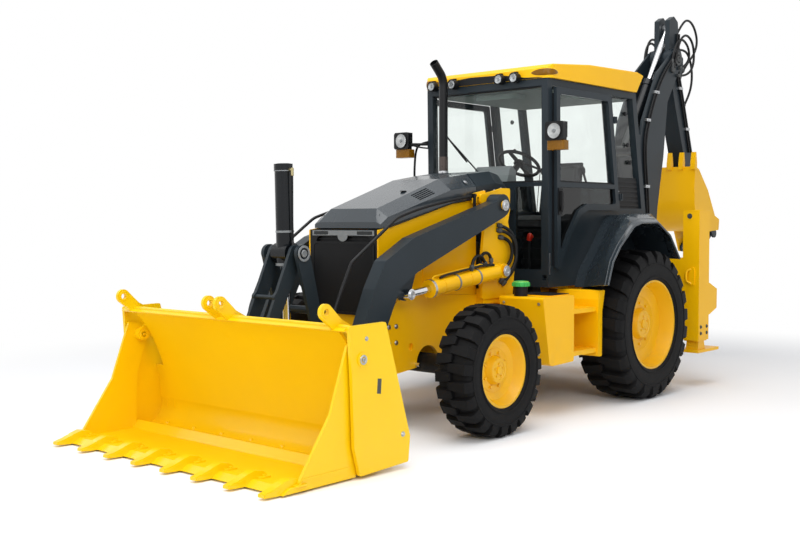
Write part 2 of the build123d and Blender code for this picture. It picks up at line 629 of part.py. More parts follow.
with BuildPart() as loader_boom:
    for x in (-1, 1):
        plate(ARM, x * ARM_X, ARM_W, radius=40)
        disc(LOADER_PIVOT, 88, x * ARM_X, ARM_W)
        disc(BUCKET_HINGE, 68, x * ARM_X, ARM_W)
        plate([(-560, 1080), (-260, 1225), (-345, 1010), (-440, 980)], x * (ARM_X - ARM_W / 2 + 11), 22,
              radius=20)
        disc(LIFT_ROD_EYE, 48, x * (ARM_X - ARM_W / 2 + 11), 22)
        disc(LOADER_PIVOT, PIN_R + FIT, x * ARM_X, ARM_W + 10, mode=Mode.SUBTRACT)
        disc(BUCKET_HINGE, PIN_R + FIT, x * ARM_X, ARM_W + 10, mode=Mode.SUBTRACT)
        link_plate(GUIDE_PIVOT, CROSS_TUBE, 42, 74, x * (GUIDE_X + 27), 18)
        disc(GUIDE_PIVOT, PIN_R, x * (GUIDE_X + 10), 52)
        link_plate(TILT_ROD_EYE, CROSS_TUBE, 40, 70, x * 45, 18)
        disc(TILT_ROD_EYE, 26, x * 60, 14)
    disc(CROSS_TUBE, 76, 0, 2 * ARM_X - ARM_W + 20)

with BuildPart() as guide_link:
    for x in (-1, 1):
        link_plate(GUIDE_PIVOT, TILT_TRUNNION, 50, 62, x * GUIDE_X, 28)
        disc(GUIDE_PIVOT, PIN_R + FIT, x * GUIDE_X, 30, mode=Mode.SUBTRACT)
        disc(TILT_TRUNNION, 30 + FIT, x * GUIDE_X, 30, mode=Mode.SUBTRACT)
    disc((-1005, 930), 28, 0, 2 * GUIDE_X)

LINK_TIE = (-1306, 1033)
with BuildPart() as bucket_link:
    for x in (-1, 1):
        link_plate(TILT_TRUNNION, BUCKET_LINK_PIN, 60, 46, x * LINK_X, 26)
        link_plate((-1250, 1060), LINK_TIE, 45, 24, x * LINK_X, 26)
        disc(TILT_TRUNNION, 30 + FIT, x * LINK_X, 30, mode=Mode.SUBTRACT)
    disc(LINK_TIE, 16, 0, 2 * LINK_X)

TILT_LINE = between(TILT_ROD_EYE, TILT_TRUNNION)
with BuildPart() as tilt_barrel:
    bar(TILT_ROD_EYE, TILT_TRUNNION, 0, 62, TILT_LINE - 90, TILT_LINE + 620)
    bar(TILT_ROD_EYE, TILT_TRUNNION, 0, 68, TILT_LINE - 90, TILT_LINE - 30)
    bar(TILT_ROD_EYE, TILT_TRUNNION, 0, 66, TILT_LINE + 575, TILT_LINE + 622)
    disc(TILT_TRUNNION, 30, 0, 2 * GUIDE_X + 40)
    disc(TILT_TRUNNION, 74, 0, 150)
    bar(TILT_ROD_EYE, TILT_TRUNNION, 0, 52, TILT_LINE - 60, TILT_LINE + 600, mode=Mode.SUBTRACT)
    bar(TILT_ROD_EYE, TILT_TRUNNION, 0, 28 + FIT, TILT_LINE - 100, TILT_LINE - 50,
        mode=Mode.SUBTRACT)

with BuildPart() as tilt_rod:
    bar(TILT_ROD_EYE, TILT_TRUNNION, 0, 28, 25, TILT_LINE + 90)
    disc(TILT_ROD_EYE, 38, 0, 60)

with BuildPart() as lift_barrels:
    for x in (-ARM_X, ARM_X):
        barrel(LIFT_EYE, LIFT_ROD_EYE, x, 60, 28, 880, 58, 112)

with BuildPart() as lift_rods:
    for x in (-ARM_X, ARM_X):
        piston_rod(LIFT_EYE, LIFT_ROD_EYE, x, 28, 160, 40, 64)

# ---------------------------------------------------------------- multipurpose bucket
CLAM_X = BUCKET_HALF - 145
with BuildPart() as bucket_back:
    with BuildSketch(side(0)):
        with BuildLine():
            ThreePointArc((-1662, 922), (-1440, 600), (-1352, 230))
            ThreePointArc((-1352, 230), (-1372, 105), (-1440, 46))
            Line((-1440, 46), (-1570, 28))
        trace(line_width=16)
    extrude(amount=BUCKET_HALF - BUCKET_END_T + 1, both=True)
    for x in (-1, 1):
        block(sorted((x * (CLAM_X + 22), x * (BUCKET_HALF - BUCKET_END_T + 2))), (-1700, -1300),
              (480, 985), mode=Mode.SUBTRACT)
        plate([(-1676, 932), (-1357, 937), (-1133, 202), (-1150, 40), (-1590, 22),
               (-1640, 200), (-1655, 600)], x * (BUCKET_HALF - BUCKET_END_T / 2), BUCKET_END_T,
              radius=14)
        for lug_x in (x * (ARM_X - ARM_W / 2 - 14), x * (ARM_X + ARM_W / 2 + 14)):
            plate([(-1370, 520), (-1130, 300), (-1100, 200), (-1200, 170), (-1352, 140)],
                  lug_x, 16, radius=20)
        disc(BUCKET_HINGE, 62, x * (ARM_X - ARM_W / 2 - 14), 16)
        disc(BUCKET_HINGE, 62, x * (ARM_X + ARM_W / 2 + 14), 16)
        disc(BUCKET_HINGE, PIN_R, x * ARM_X, ARM_W + 60)
        plate([(-1420, 640), (-1320, 790), (-1330, 880), (-1600, 850), (-1540, 760)],
              x * (LINK_X + 25), 16, radius=20)
        disc(BUCKET_LINK_PIN, 44, x * (LINK_X + 25), 16)
        disc(BUCKET_LINK_PIN, 26, x * (LINK_X + 38), 12)
        for lug_x in (x * (CLAM_X - 46), x * (CLAM_X + 46)):
            plate([(-1356, 330), (-1200, 290), (-1190, 200), (-1362, 150)], lug_x, 12, radius=12)
        disc(CLAM_BASE, 22, x * CLAM_X, 104)
        disc(CLAM_PIVOT, PIN_R, x * (BUCKET_HALF - 50), 112)
        disc(CLAM_PIVOT, 44, x * (BUCKET_HALF + 5), 10)
        for ear_x in (x * (CLAM_X + 18), x * 60):
            link_plate(FORK_EAR, (-1650, 930), 50, 42, ear_x, 24)
            link_plate((-1650, 930), (-1560, 915), 42, 14, ear_x, 24)
    block((-(BUCKET_HALF - BUCKET_END_T + 1), BUCKET_HALF - BUCKET_END_T + 1), (-1674, -1630),
          (894, 930))
    for x in (-(CLAM_X + 18), -60, 60, CLAM_X + 18):
        disc(FORK_EAR, 20, x, 40, mode=Mode.SUBTRACT)

TOOTH = [(-2060, 62), (-2110, 64), (-2287, 34), (-2287, 20), (-2150, 12), (-2060, 12)]
with BuildPart() as bucket_jaw:
    block((-(BUCKET_HALF - 37), BUCKET_HALF - 37), (-2130, -1590), (14, 34))
    plate([(-2180, 14), (-2020, 14), (-2020, 46), (-2120, 46)], 0,
          2 * (BUCKET_HALF - 37))
    plate([(-1590, 14), (-1590, 90), (-1640, 34), (-1640, 14)], 0,
          2 * (BUCKET_HALF - 37))
    for x in (-1, 1):
        plate([(-1655, 820), (-1530, 800), (-1500, 690), (-1590, 420), (-1602, 14), (-2060, 14),
               (-2050, 70), (-1800, 420)],
              x * (BUCKET_HALF - 47), 20, radius=12)
        link_plate(CLAM_PIVOT, CLAM_LEVER, 46, 34, x * (CLAM_X + 40), 20)
        disc(CLAM_PIVOT, 44, x * (CLAM_X + 68), 76)
        disc(CLAM_PIVOT, PIN_R + FIT, x * (CLAM_X + 60), 120, mode=Mode.SUBTRACT)
        disc(CLAM_LEVER, 20, x * (CLAM_X + 56), 16)
    for i in range(TEETH):
        plate(TOOTH, (i - (TEETH - 1) / 2) * TOOTH_PITCH, 62)

CLAM_LINE = between(CLAM_BASE, CLAM_LEVER)
with BuildPart() as clam_barrels:
    for x in (-CLAM_X, CLAM_X):
        bar(CLAM_BASE, CLAM_LEVER, x, 34, 28, 385)
        disc(CLAM_BASE, 38, x, 76)
        bar(CLAM_BASE, CLAM_LEVER, x, 26, 55, 350, mode=Mode.SUBTRACT)
        bar(CLAM_BASE, CLAM_LEVER, x, 18 + FIT, 340, 400, mode=Mode.SUBTRACT)
        disc(CLAM_BASE, 22 + FIT, x, 100, mode=Mode.SUBTRACT)

with BuildPart() as clam_rods:
    for x in (-CLAM_X, CLAM_X):
        bar(CLAM_BASE, CLAM_LEVER, x, 18, 280, CLAM_LINE - 20)
        disc(CLAM_LEVER, 34, x, 50)

# ---------------------------------------------------------------- backhoe frame and stands
with BuildPart() as rear_frame:
    for x in (-1, 1):
        block(sorted((x * COLUMN_X[0], x * COLUMN_X[1])), COLUMN_Y, COLUMN_Z)
        block(sorted((x * (COLUMN_X[0] + 12), x * (COLUMN_X[1] - 12))),
              (COLUMN_Y[0] + 12, COLUMN_Y[1] - 12), (COLUMN_Z[0] - 1, COLUMN_Z[1] - 12),
              mode=Mode.SUBTRACT)
        plate([(3236, 660), (3405, 720), (3410, 900), (3236, 970)], x * 1082, 16, radius=12)
    for z in ((480, 600), (1100, 1200)):
        block((-COLUMN_X[0], COLUMN_X[0]), (REAR_FRAME_Y + 30, REAR_FRAME_Y + 125), z)
    block((-COLUMN_X[0], COLUMN_X[0]), (REAR_FRAME_Y, REAR_FRAME_Y + 30), (480, 1200))
    for x in (-620, 0, 620):
        with BuildSketch(across(REAR_FRAME_Y)):
            with Locations((x, 850)):
                RectangleRounded(420, 380, 60)
        extrude(amount=-40, mode=Mode.SUBTRACT)

with BuildPart() as stabilizer_leg_left:
    block((COLUMN_X[0] + 13, COLUMN_X[1] - 13), (COLUMN_Y[0] + 13, COLUMN_Y[1] - 13), (424, 1600))
    block((COLUMN_X[0] - 40, COLUMN_X[1]), (3030, 3460), (318, 345))
    plate([(3060, 344), (3210, 344), (3190, 425), (3080, 425)], 1008, 120)

with BuildPart() as stabilizer_leg_right:
    add(mirror(stabilizer_leg_left.part, about=Plane.YZ))

SWING_Z = 620
SWING_BASE = (440, 3278)
SWING_EYE = (49, SWING_Y + 63)


def swing_plane(x_sign, start):
    """Plane on a swing cylinder's line, at a distance from its base pin."""
    run = Vector(x_sign * (SWING_EYE[0] - SWING_BASE[0]), SWING_EYE[1] - SWING_BASE[1]).normalized()
    origin = Vector(x_sign * SWING_BASE[0], AXLE_Y + SWING_BASE[1], SWING_Z) + run * start
    return Plane(origin=origin, x_dir=(0, 0, 1), z_dir=run)


SWING_LINE = Vector(SWING_EYE[0] - SWING_BASE[0], SWING_EYE[1] - SWING_BASE[1]).length
with BuildPart() as slide_carriage:
    block((-330, 330), (3162, 3212), (470, 1215))
    block((-330, 330), (3062, 3212), (1200 + FIT, 1236))
    block((-330, 330), (3062, 3212), (444, 480 - FIT))
    for z in (520, 1120):
        with BuildSketch(level(z)):
            with Locations((0, SWING_Y)):
                Circle(95)
            with Locations((0, 3212)):
                Rectangle(300, 10)
            make_hull()
        extrude(amount=20, both=True)
    pipe((0, SWING_Y, 500), (0, SWING_Y, 570), 35)
    pipe((0, SWING_Y, 1020), (0, SWING_Y, 1140), 35)
    for x in (-1, 1):
        block(sorted((x * 240, x * 330)), (3211, 3300), (SWING_Z - 60, SWING_Z + 60))
        for z in (SWING_Z - 50, SWING_Z + 50):
            block(sorted((x * 320, x * (SWING_BASE[0] + 45))), (3258, 3312), (z - 8, z + 8))
        pipe((x * SWING_BASE[0], SWING_BASE[1], SWING_Z - 70),
             (x * SWING_BASE[0], SWING_BASE[1], SWING_Z + 70), 22)
        with BuildSketch(swing_plane(x, 0)):
            Circle(38)
        extrude(amount=270)
        with BuildSketch(swing_plane(x, 60)):
            Circle(30)
        extrude(amount=190, mode=Mode.SUBTRACT)
        with BuildSketch(swing_plane(x, 240)):
            Circle(20 + FIT)
        extrude(amount=40, mode=Mode.SUBTRACT)

with BuildPart() as swing_rod_left:
    with BuildSketch(swing_plane(1, 190)):
        Circle(20)
    extrude(amount=SWING_LINE - 190 - 24)
    pipe((SWING_EYE[0], SWING_EYE[1], SWING_Z - 22), (SWING_EYE[0], SWING_EYE[1], SWING_Z + 22), 32)

with BuildPart() as swing_rod_right:
    add(mirror(swing_rod_left.part, about=Plane.YZ))

with BuildPart() as swing_post:
    # lower swing arms, above and below the rod eyes
    for z in (SWING_Z - 32, SWING_Z + 32):
        with BuildSketch(level(z)):
            with Locations((0, SWING_Y)):
                Circle(75)
            for x in (-1, 1):
                with Locations((x * SWING_EYE[0], SWING_EYE[1])):
                    Circle(45)
            make_hull()
        extrude(amount=8, both=True)
    pipe((0, SWING_Y, 546), (0, SWING_Y, SWING_Z - 26), 70)
    pipe((0, SWING_Y, SWING_Z - 30), (0, SWING_Y, SWING_Z + 30), 42)
    pipe((0, SWING_Y, SWING_Z + 26), (0, SWING_Y, 1094), 78)
    plate([(SWING_Y + 15, 690), (3790, 690), (3860, 760), (3860, 850), (3800, 1110), (3700, 1130),
           (3600, 1094), (SWING_Y + 15, 1086)], 0, 180, radius=25)
    plate([(3640, 930), (3760, 930), (3865, 845), (3920, 845), (3920, 1300), (3600, 1300),
           (3600, 1130)], 0, 138, mode=Mode.SUBTRACT)
    disc(BOOM_FOOT, 70, 0, 236)
    disc(BOOM_FOOT, PIN_R + 5, 0, 320)
    disc(BOOM_CYL_LOW, PIN_R, 0, 178)
    pipe((0, SWING_Y, 540), (0, SWING_Y, 575), 35 + FIT, mode=Mode.SUBTRACT)
    pipe((0, SWING_Y, 1015), (0, SWING_Y, 1100), 35 + FIT, mode=Mode.SUBTRACT)

# ---------------------------------------------------------------- backhoe
BOOM = [(3700, 700), (3700, 1640), (3594, 2250), (3660, 2560), (3960, 3080), (4330, 3360),
        (4490, 3330), (4480, 3190), (4200, 2800), (4118, 2220), (4000, 1700), (3880, 740),
        (3800, 690)]
BOOM_X = 137
with BuildPart() as backhoe_boom:
    for x in (-BOOM_X, BOOM_X):
        plate(BOOM, x, 22, radius=40)
        disc(BOOM_FOOT, 95, x, 22)
        disc(KNEE, 110, x, 22)
    plate([(3860, 900), (3885, 900), (4015, 1720), (4120, 2230), (4215, 2810), (4330, 2990),
           (4300, 3010), (4185, 2830), (4090, 2240), (3985, 1720)], 0, 2 * BOOM_X)
    for x in (-1, 1):
        plate([(3670, 2040), (3500, 2190), (3500, 2320), (3650, 2460)], x * BOOM_X, 22, radius=30)
        disc(BOOM_CYL_HIGH, 26, x * 105, 60)
        disc(CROWD_BASE, 26, x * 105, 60)
        disc(BOOM_FOOT, PIN_R + 5 + FIT, x * BOOM_X, 30, mode=Mode.SUBTRACT)
        disc(KNEE, PIN_R + 5 + FIT, x * BOOM_X, 30, mode=Mode.SUBTRACT)

with BuildPart() as boom_barrel:
    barrel(BOOM_CYL_LOW, BOOM_CYL_HIGH, 0, 58, 32, 760, 60, 130)

with BuildPart() as boom_rod:
    piston_rod(BOOM_CYL_LOW, BOOM_CYL_HIGH, 0, 32, 200, 50, 130)

with BuildPart() as crowd_barrel:
    barrel(CROWD_BASE, CROWD_EYE, 0, 58, 32, 900, 60, 140)

with BuildPart() as crowd_rod:
    piston_rod(CROWD_BASE, CROWD_EYE, 0, 32, 700, 52, 60)

DIPPER = [(4345, 3690), (4440, 3740), (4530, 3690), (4566, 3420), (4566, 3180), (4640, 3020),
          (4700, 2860), (4905, 2290), (5100, 1760), (5155, 1560), (5080, 1430), (4990, 1500),
          (4720, 2200), (4480, 2800), (4360, 3160), (4340, 3300)]
with BuildPart() as dipper:
    plate(DIPPER, 0, 180, radius=20)
    disc(KNEE, 115, 0, 236)
    plate([(4300, 3330), (4300, 3800), (4620, 3800), (4620, 3440), (4500, 3400)], 0, 72,
          mode=Mode.SUBTRACT)
    for x in (-1, 1):
        disc(CROWD_EYE, 60, x * 60, 48)
        plate([(4540, 3330), (4690, 3330), (4690, 3200), (4600, 3090), (4540, 3090)], x * 64, 24,
              radius=20)
        disc(BUCKET_CYL_EYE, PIN_R, x * 45, 62)
    disc(KNEE, PIN_R + 5, 0, 320)
    disc(DIPPER_END, 75, 0, 236)
    disc(DIPPER_END, PIN_R + FIT, 0, 300, mode=Mode.SUBTRACT)
    disc(ROCKER_PIVOT, 55, 0, 180)
    disc(ROCKER_PIVOT, PIN_R, 0, 350)

with BuildPart() as dipper_barrel:
    barrel(BUCKET_CYL_EYE, ROCKER_EYE, 0, 48, 28, 1180, 50, 80)

with BuildPart() as dipper_rod:
    piston_rod(BUCKET_CYL_EYE, ROCKER_EYE, 0, 28, 800, 44, 80)

ROCKER_X = 160
PUSH_X = 106
with BuildPart() as rocker_link:
    for x in (-1, 1):
        link_plate(ROCKER_PIVOT, ROCKER_EYE, 50, 48, x * ROCKER_X, 22)
        disc(ROCKER_PIVOT, PIN_R + FIT, x * ROCKER_X, 40, mode=Mode.SUBTRACT)
        disc(ROCKER_EYE, PIN_R, x * 133, 78)
    disc((5182, 1544), 18, 0, 2 * ROCKER_X)

with BuildPart() as push_link:
    for x in (-1, 1):
        link_plate(ROCKER_EYE, HOE_LINK_PIN, 46, 46, x * PUSH_X, 20)
        disc(ROCKER_EYE, PIN_R + FIT, x * PUSH_X, 40, mode=Mode.SUBTRACT)
    disc((5195, 1320), 18, 0, 2 * PUSH_X)

LUG_X = 132
with BuildPart() as backhoe_bucket:
    for x in (-1, 1):
        plate([(5150, 1560), (5135, 1440), (4800, 1425), (4560, 1640), (4530, 1900),
               (4560, 2130), (4640, 2100), (4860, 1880), (5040, 1600)],
              x * (HOE_BUCKET_HALF - 8), 16, radius=12)
        plate([(5150, 1545), (5130, 1250), (5090, 1195), (5040, 1200), (4930, 1430), (4880, 1490),
               (5020, 1540)], x * LUG_X, 18, radius=12)
        disc(DIPPER_END, 62, x * LUG_X, 18)
        disc(HOE_LINK_PIN, 42, x * LUG_X, 18)
    disc(DIPPER_END, PIN_R, 0, 286)
    with BuildSketch(side(0)):
        with BuildLine():
            ThreePointArc((5000, 1448), (4690, 1500), (4545, 1800))
            Line((4545, 1800), (4552, 2130))
        trace(line_width=14)
    extrude(amount=HOE_BUCKET_HALF, both=True)
    for i in range(5):
        plate([(4520, 2100), (4580, 2100), (4578, 2170), (4558, 2285), (4546, 2285),
               (4524, 2170)], (i - 2) * 140, 52)


# ---------------------------------------------------------------- nodes
NODES = dict(
    main_frame=main_frame, loader_towers=loader_towers, engine=engine, hood=hood, grille=grille,
    hood_side_panels=hood_side_panels, exhaust_stack=exhaust_stack, cab_shell=cab_shell,
    cab_glass=cab_glass, cab_roof=cab_roof, lamps=lamps, door_left=door_left,
    door_right=door_right, door_glass_left=door_glass_left, door_glass_right=door_glass_right,
    operator_chair=operator_chair, controls=controls, rear_fenders=rear_fenders,
    side_tank_and_steps=side_tank_and_steps, front_axle=front_axle, knuckle_left=knuckle_left,
    knuckle_right=knuckle_right, rim_front_left=rim_front_left, tyre_front_left=tyre_front_left,
    rim_front_right=rim_front_right, tyre_front_right=tyre_front_right, rear_axle=rear_axle,
    rim_rear_left=rim_rear_left, tyre_rear_left=tyre_rear_left, rim_rear_right=rim_rear_right,
    tyre_rear_right=tyre_rear_right, loader_boom=loader_boom, guide_link=guide_link,
    bucket_link=bucket_link, tilt_barrel=tilt_barrel, tilt_rod=tilt_rod,
    lift_barrels=lift_barrels, lift_rods=lift_rods, bucket_back=bucket_back,
    bucket_jaw=bucket_jaw, clam_barrels=clam_barrels, clam_rods=clam_rods,
    rear_frame=rear_frame, stabilizer_leg_left=stabilizer_leg_left,
    stabilizer_leg_right=stabilizer_leg_right, slide_carriage=slide_carriage,
    swing_rod_left=swing_rod_left, swing_rod_right=swing_rod_right, swing_post=swing_post,
    backhoe_boom=backhoe_boom, boom_barrel=boom_barrel, boom_rod=boom_rod,
    crowd_barrel=crowd_barrel, crowd_rod=crowd_rod, dipper=dipper,
    dipper_barrel=dipper_barrel, dipper_rod=dipper_rod, rocker_link=rocker_link,
    push_link=push_link, backhoe_bucket=backhoe_bucket,
)
for name, piece in NODES.items():
    piece.part.label = name
    export_step(piece.part, f"parts/{name}.step")
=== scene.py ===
"""Looks of the backhoe loader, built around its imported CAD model. Metres; the front faces -Y."""
import math

import bmesh
import bpy
from mathutils import Matrix, Vector


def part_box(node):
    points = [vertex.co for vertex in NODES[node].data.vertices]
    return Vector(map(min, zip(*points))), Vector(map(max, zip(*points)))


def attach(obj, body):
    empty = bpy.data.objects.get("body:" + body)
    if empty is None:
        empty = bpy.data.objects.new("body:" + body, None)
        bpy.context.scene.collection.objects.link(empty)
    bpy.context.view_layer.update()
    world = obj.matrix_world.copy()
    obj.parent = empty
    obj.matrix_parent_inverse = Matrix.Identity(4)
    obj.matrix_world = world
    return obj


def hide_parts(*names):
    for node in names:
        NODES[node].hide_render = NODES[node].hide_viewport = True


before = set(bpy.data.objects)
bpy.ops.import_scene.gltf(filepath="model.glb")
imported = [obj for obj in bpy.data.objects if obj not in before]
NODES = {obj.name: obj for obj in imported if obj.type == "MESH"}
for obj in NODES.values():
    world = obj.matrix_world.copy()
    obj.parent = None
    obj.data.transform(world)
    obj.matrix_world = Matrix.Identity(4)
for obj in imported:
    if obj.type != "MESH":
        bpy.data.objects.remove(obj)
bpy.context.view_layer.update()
AXLE_Y = -1.541          # front axle
WHEELBASE = 2.2
FRONT_RADIUS, REAR_RADIUS = 0.478, 0.648     # of the tyres


# ---- materials
def srgb(r, g, b, a=1.0):
    """A display colour, 0 to 255, as the linear colour that renders to it."""
    def line(c):
        c /= 255
        return c / 12.92 if c <= 0.04045 else ((c + 0.055) / 1.055) ** 2.4
    return (line(r), line(g), line(b), a)


def feed(tree, socket, value):
    """Link a socket to another, or set it to a plain value."""
    if hasattr(value, "links"):
        tree.links.new(value, socket)
    else:
        socket.default_value = value


def do_math(tree, operation, a, b):
    node = tree.nodes.new("ShaderNodeMath")
    node.operation = operation
    feed(tree, node.inputs[0], a)
    feed(tree, node.inputs[1], b)
    return node.outputs[0]


class Shader:
    """A small builder of node materials around one Principled shader."""

    def __init__(self, name, rough=0.5, metal=0.0, coat=0.0, spec=0.5):
        self.mat = bpy.data.materials.new(name)
        self.mat.use_nodes = True
        self.tree = self.mat.node_tree
        self.tree.nodes.clear()
        self.out = self.add("ShaderNodeOutputMaterial")
        self.bsdf = self.add("ShaderNodeBsdfPrincipled")
        self.bsdf.inputs["Roughness"].default_value = rough
        self.bsdf.inputs["Metallic"].default_value = metal
        self.bsdf.inputs["Coat Weight"].default_value = coat
        self.bsdf.inputs["Coat Roughness"].default_value = 0.12
        self.bsdf.inputs["Specular IOR Level"].default_value = spec
        self.link(self.bsdf.outputs[0], self.out.inputs["Surface"])
        self.where = self.add("ShaderNodeTexCoord").outputs["Object"]

    def add(self, kind, **values):
        node = self.tree.nodes.new(kind)
        for key, value in values.items():
            setattr(node, key, value)
        return node

    def link(self, a, b):
        self.tree.links.new(a, b)

    def math(self, operation, a, b):
        return do_math(self.tree, operation, a, b)

    

    def noise(self, scale, detail, rough=0.55):
        node = self.add("ShaderNodeTexNoise")
        node.inputs["Scale"].default_value = scale
        node.inputs["Detail"].default_value = detail
        node.inputs["Roughness"].default_value = rough
        self.link(self.where, node.inputs["Vector"])
        return node.outputs["Fac"]

    def ramp(self, fac, stops):
        node = self.add("ShaderNodeValToRGB")
        ramp = node.color_ramp
        while len(ramp.elements) < len(stops):
            ramp.elements.new(0.5)
        for element, (place, colour) in zip(ramp.elements, stops):
            element.position = place
            element.color = (*colour[:3], 1)
        self.link(fac, node.inputs[0])
        return node.outputs[0]

    def mix(self, fac, a, b):
        node = self.add("ShaderNodeMix", data_type="RGBA", blend_type="MIX")
        for i, value in ((0, fac), (6, a), (7, b)):
            feed(self.tree, node.inputs[i], value)
        return node.outputs[2]

    def colour(self, value):
        feed(self.tree, self.bsdf.inputs["Base Color"], value)

    

    def rough(self, fac, low, high):
        node = self.add("ShaderNodeMapRange")
        node.inputs["To Min"].default_value = low
        node.inputs["To Max"].default_value = high
        self.link(fac, node.inputs[0])
        self.link(node.outputs[0], self.bsdf.inputs["Roughness"])

    def bump(self, fac, strength, distance=0.001):
        node = self.add("ShaderNodeBump")
        node.inputs["Strength"].default_value = strength
        node.inputs["Distance"].default_value = distance
        self.link(fac, node.inputs["Height"])
        self.link(node.outputs[0], self.bsdf.inputs["Normal"])

    def height(self):
        split = self.add("ShaderNodeSeparateXYZ")
        self.link(self.where, split.inputs[0])
        return split.outputs[2]


def paint(name, colour, shade, rough=0.32, coat=0.5, peel=0.02, dust=0.35, spec=0.5):
    """Sprayed paint: slow colour drift, orange peel, a little road dust low down."""
    s = Shader(name, rough, coat=coat, spec=spec)
    drift = s.ramp(s.noise(1.7, 3), [(0.3, srgb(*colour)), (0.75, srgb(*shade))])
    grime = s.noise(9, 8, 0.65)
    low = s.add("ShaderNodeMapRange")
    low.inputs["From Min"].default_value = 0.75
    low.inputs["From Max"].default_value = 0.0
    s.link(s.height(), low.inputs[0])
    share = s.ramp(grime, [(0.45, (0, 0, 0)), (0.8, (dust, dust, dust))])
    amount = s.math("MULTIPLY", low.outputs[0], share)
    s.colour(s.mix(amount, drift, srgb(150, 132, 104)))
    s.rough(s.noise(5, 2), rough - 0.02, rough + 0.04)
    if peel:
        s.bump(s.noise(420, 2), peel, 0.0006)
    return s.mat


M = {"yellow": paint("paint_yellow", (252, 192, 0), (247, 186, 0), 0.38, 0.06, spec=0.25),
    "bucket": paint("paint_bucket", (247, 203, 0), (243, 198, 0), 0.36, 0.1, dust=0.04, spec=0.35),
    "dark": paint("paint_charcoal", (38, 46, 52), (33, 41, 46), 0.34, 0.0, spec=0.2),
    "gloss": paint("paint_hood", (46, 54, 60), (41, 49, 55), 0.26, 0.3, 0.0, 0.0, 0.45),
    "black": paint("paint_black", (18, 19, 21), (14, 15, 17), 0.4, 0.0, spec=0.2),
    "barrel": paint("paint_cylinder", (15, 18, 22), (12, 15, 18), 0.2, 0.1, 0.0, 0.0, 0.25),
    "rim": paint("paint_rim", (238, 182, 0), (232, 176, 0), 0.42, 0.15, spec=0.4),
    "grey": paint("paint_casting", (70, 72, 72), (54, 56, 56), 0.55, 0.0, 0.2)}


def plain(name, colour, shade, rough, metal=0.0, coat=0.0, scale=40, bump=0.1, spread=0.08,
        distance=0.0006, spec=0.5):
    s = Shader(name, rough, metal, coat, spec)
    s.colour(s.ramp(s.noise(scale * 0.35, 5), [(0.3, srgb(*colour)), (0.8, srgb(*shade))]))
    s.rough(s.noise(scale, 5), max(0.03, rough - spread), rough + spread)
    s.bump(s.noise(scale * 6, 3), bump, distance)
    return s.mat


M["rubber"] = plain("tyre_rubber", (15, 15, 16), (10, 10, 11), 0.66, scale=60, bump=0.3, spec=0.16)
M["hose"] = plain("hose_rubber", (17, 17, 18), (12, 12, 13), 0.45, scale=120, bump=0.15, spec=0.25)
M["chrome"] = plain("chrome_rod", (225, 226, 228), (212, 214, 217), 0.14, 1.0, spread=0.04, bump=0.01)
M["steel"] = plain("bright_steel", (190, 192, 194), (160, 162, 165), 0.32, 1.0, bump=0.05)
M["plastic"] = plain("black_plastic", (22, 23, 25), (17, 18, 20), 0.5, scale=90, bump=0.25, spec=0.2)
M["soft_grey"] = plain("grey_plastic", (120, 124, 126), (108, 112, 114), 0.5, scale=80)
M["trim"] = plain("headlight_band", (124, 128, 130), (108, 112, 115), 0.35, scale=60, coat=0.3)
M["red"] = plain("red_plastic", (205, 42, 22), (180, 32, 16), 0.4, scale=60)
M["green"] = plain("green_cap", (60, 190, 90), (48, 170, 78), 0.42, scale=60)
M["reflector"] = plain("lamp_reflector", (196, 198, 198), (128, 131, 132), 0.25, 0.3, bump=0.3,
    scale=48)
M["amber"] = plain("amber_lens", (132, 88, 0), (112, 72, 0), 0.3, scale=160, spec=0.25)
M["liner"] = plain("roof_liner", (112, 124, 120), (104, 116, 112), 0.8, scale=70, bump=0.2)
M["bronze"] = plain("hot_pipe", (74, 62, 56), (52, 46, 44), 0.3, 0.6, coat=0.3, scale=12)
M["brass"] = plain("fitting", (196, 184, 140), (170, 158, 118), 0.3, 1.0, bump=0.05)


def vinyl():
    s = Shader("seat_vinyl", 0.58)
    s.colour(s.ramp(s.noise(14, 5), [(0.3, srgb(44, 45, 47)), (0.8, srgb(33, 34, 36))]))
    grain = s.add("ShaderNodeTexVoronoi")
    grain.inputs["Scale"].default_value = 520
    s.link(s.where, grain.inputs["Vector"])
    s.rough(s.noise(60, 4), 0.48, 0.68)
    s.bump(grain.outputs["Distance"], 0.35, 0.0006)
    return s.mat


M["vinyl"] = vinyl()


def glass(name, tint):
    """Thin tinted pane: light passes straight through, with a mirror sheen at its face."""
    s = Shader(name, 0.03)
    clear = s.add("ShaderNodeBsdfTransparent")
    shade = s.ramp(s.noise(3, 2), [(0.2, tint), (0.9, tuple(c * 0.96 for c in tint[:3]) + (1,))])
    s.link(shade, clear.inputs["Color"])
    gloss = s.add("ShaderNodeBsdfGlossy")
    gloss.inputs["Roughness"].default_value = 0.02
    fresnel = s.add("ShaderNodeFresnel")
    fresnel.inputs["IOR"].default_value = 1.5
    front = s.math("SUBTRACT", 1.0, s.add("ShaderNodeNewGeometry").outputs["Backfacing"])
    join = s.add("ShaderNodeMixShader")
    s.link(s.math("MULTIPLY", fresnel.outputs[0], front), join.inputs[0])
    s.link(clear.outputs[0], join.inputs[1])
    s.link(gloss.outputs[0], join.inputs[2])
    s.tree.nodes.remove(s.bsdf)
    s.link(join.outputs[0], s.out.inputs["Surface"])
    return s.mat


M["glass"] = glass("tinted_glass", srgb(253, 255, 254))
M["dark_glass"] = glass("smoked_glass", srgb(96, 103, 104))
M["lens"] = glass("clear_lens", srgb(250, 251, 252))


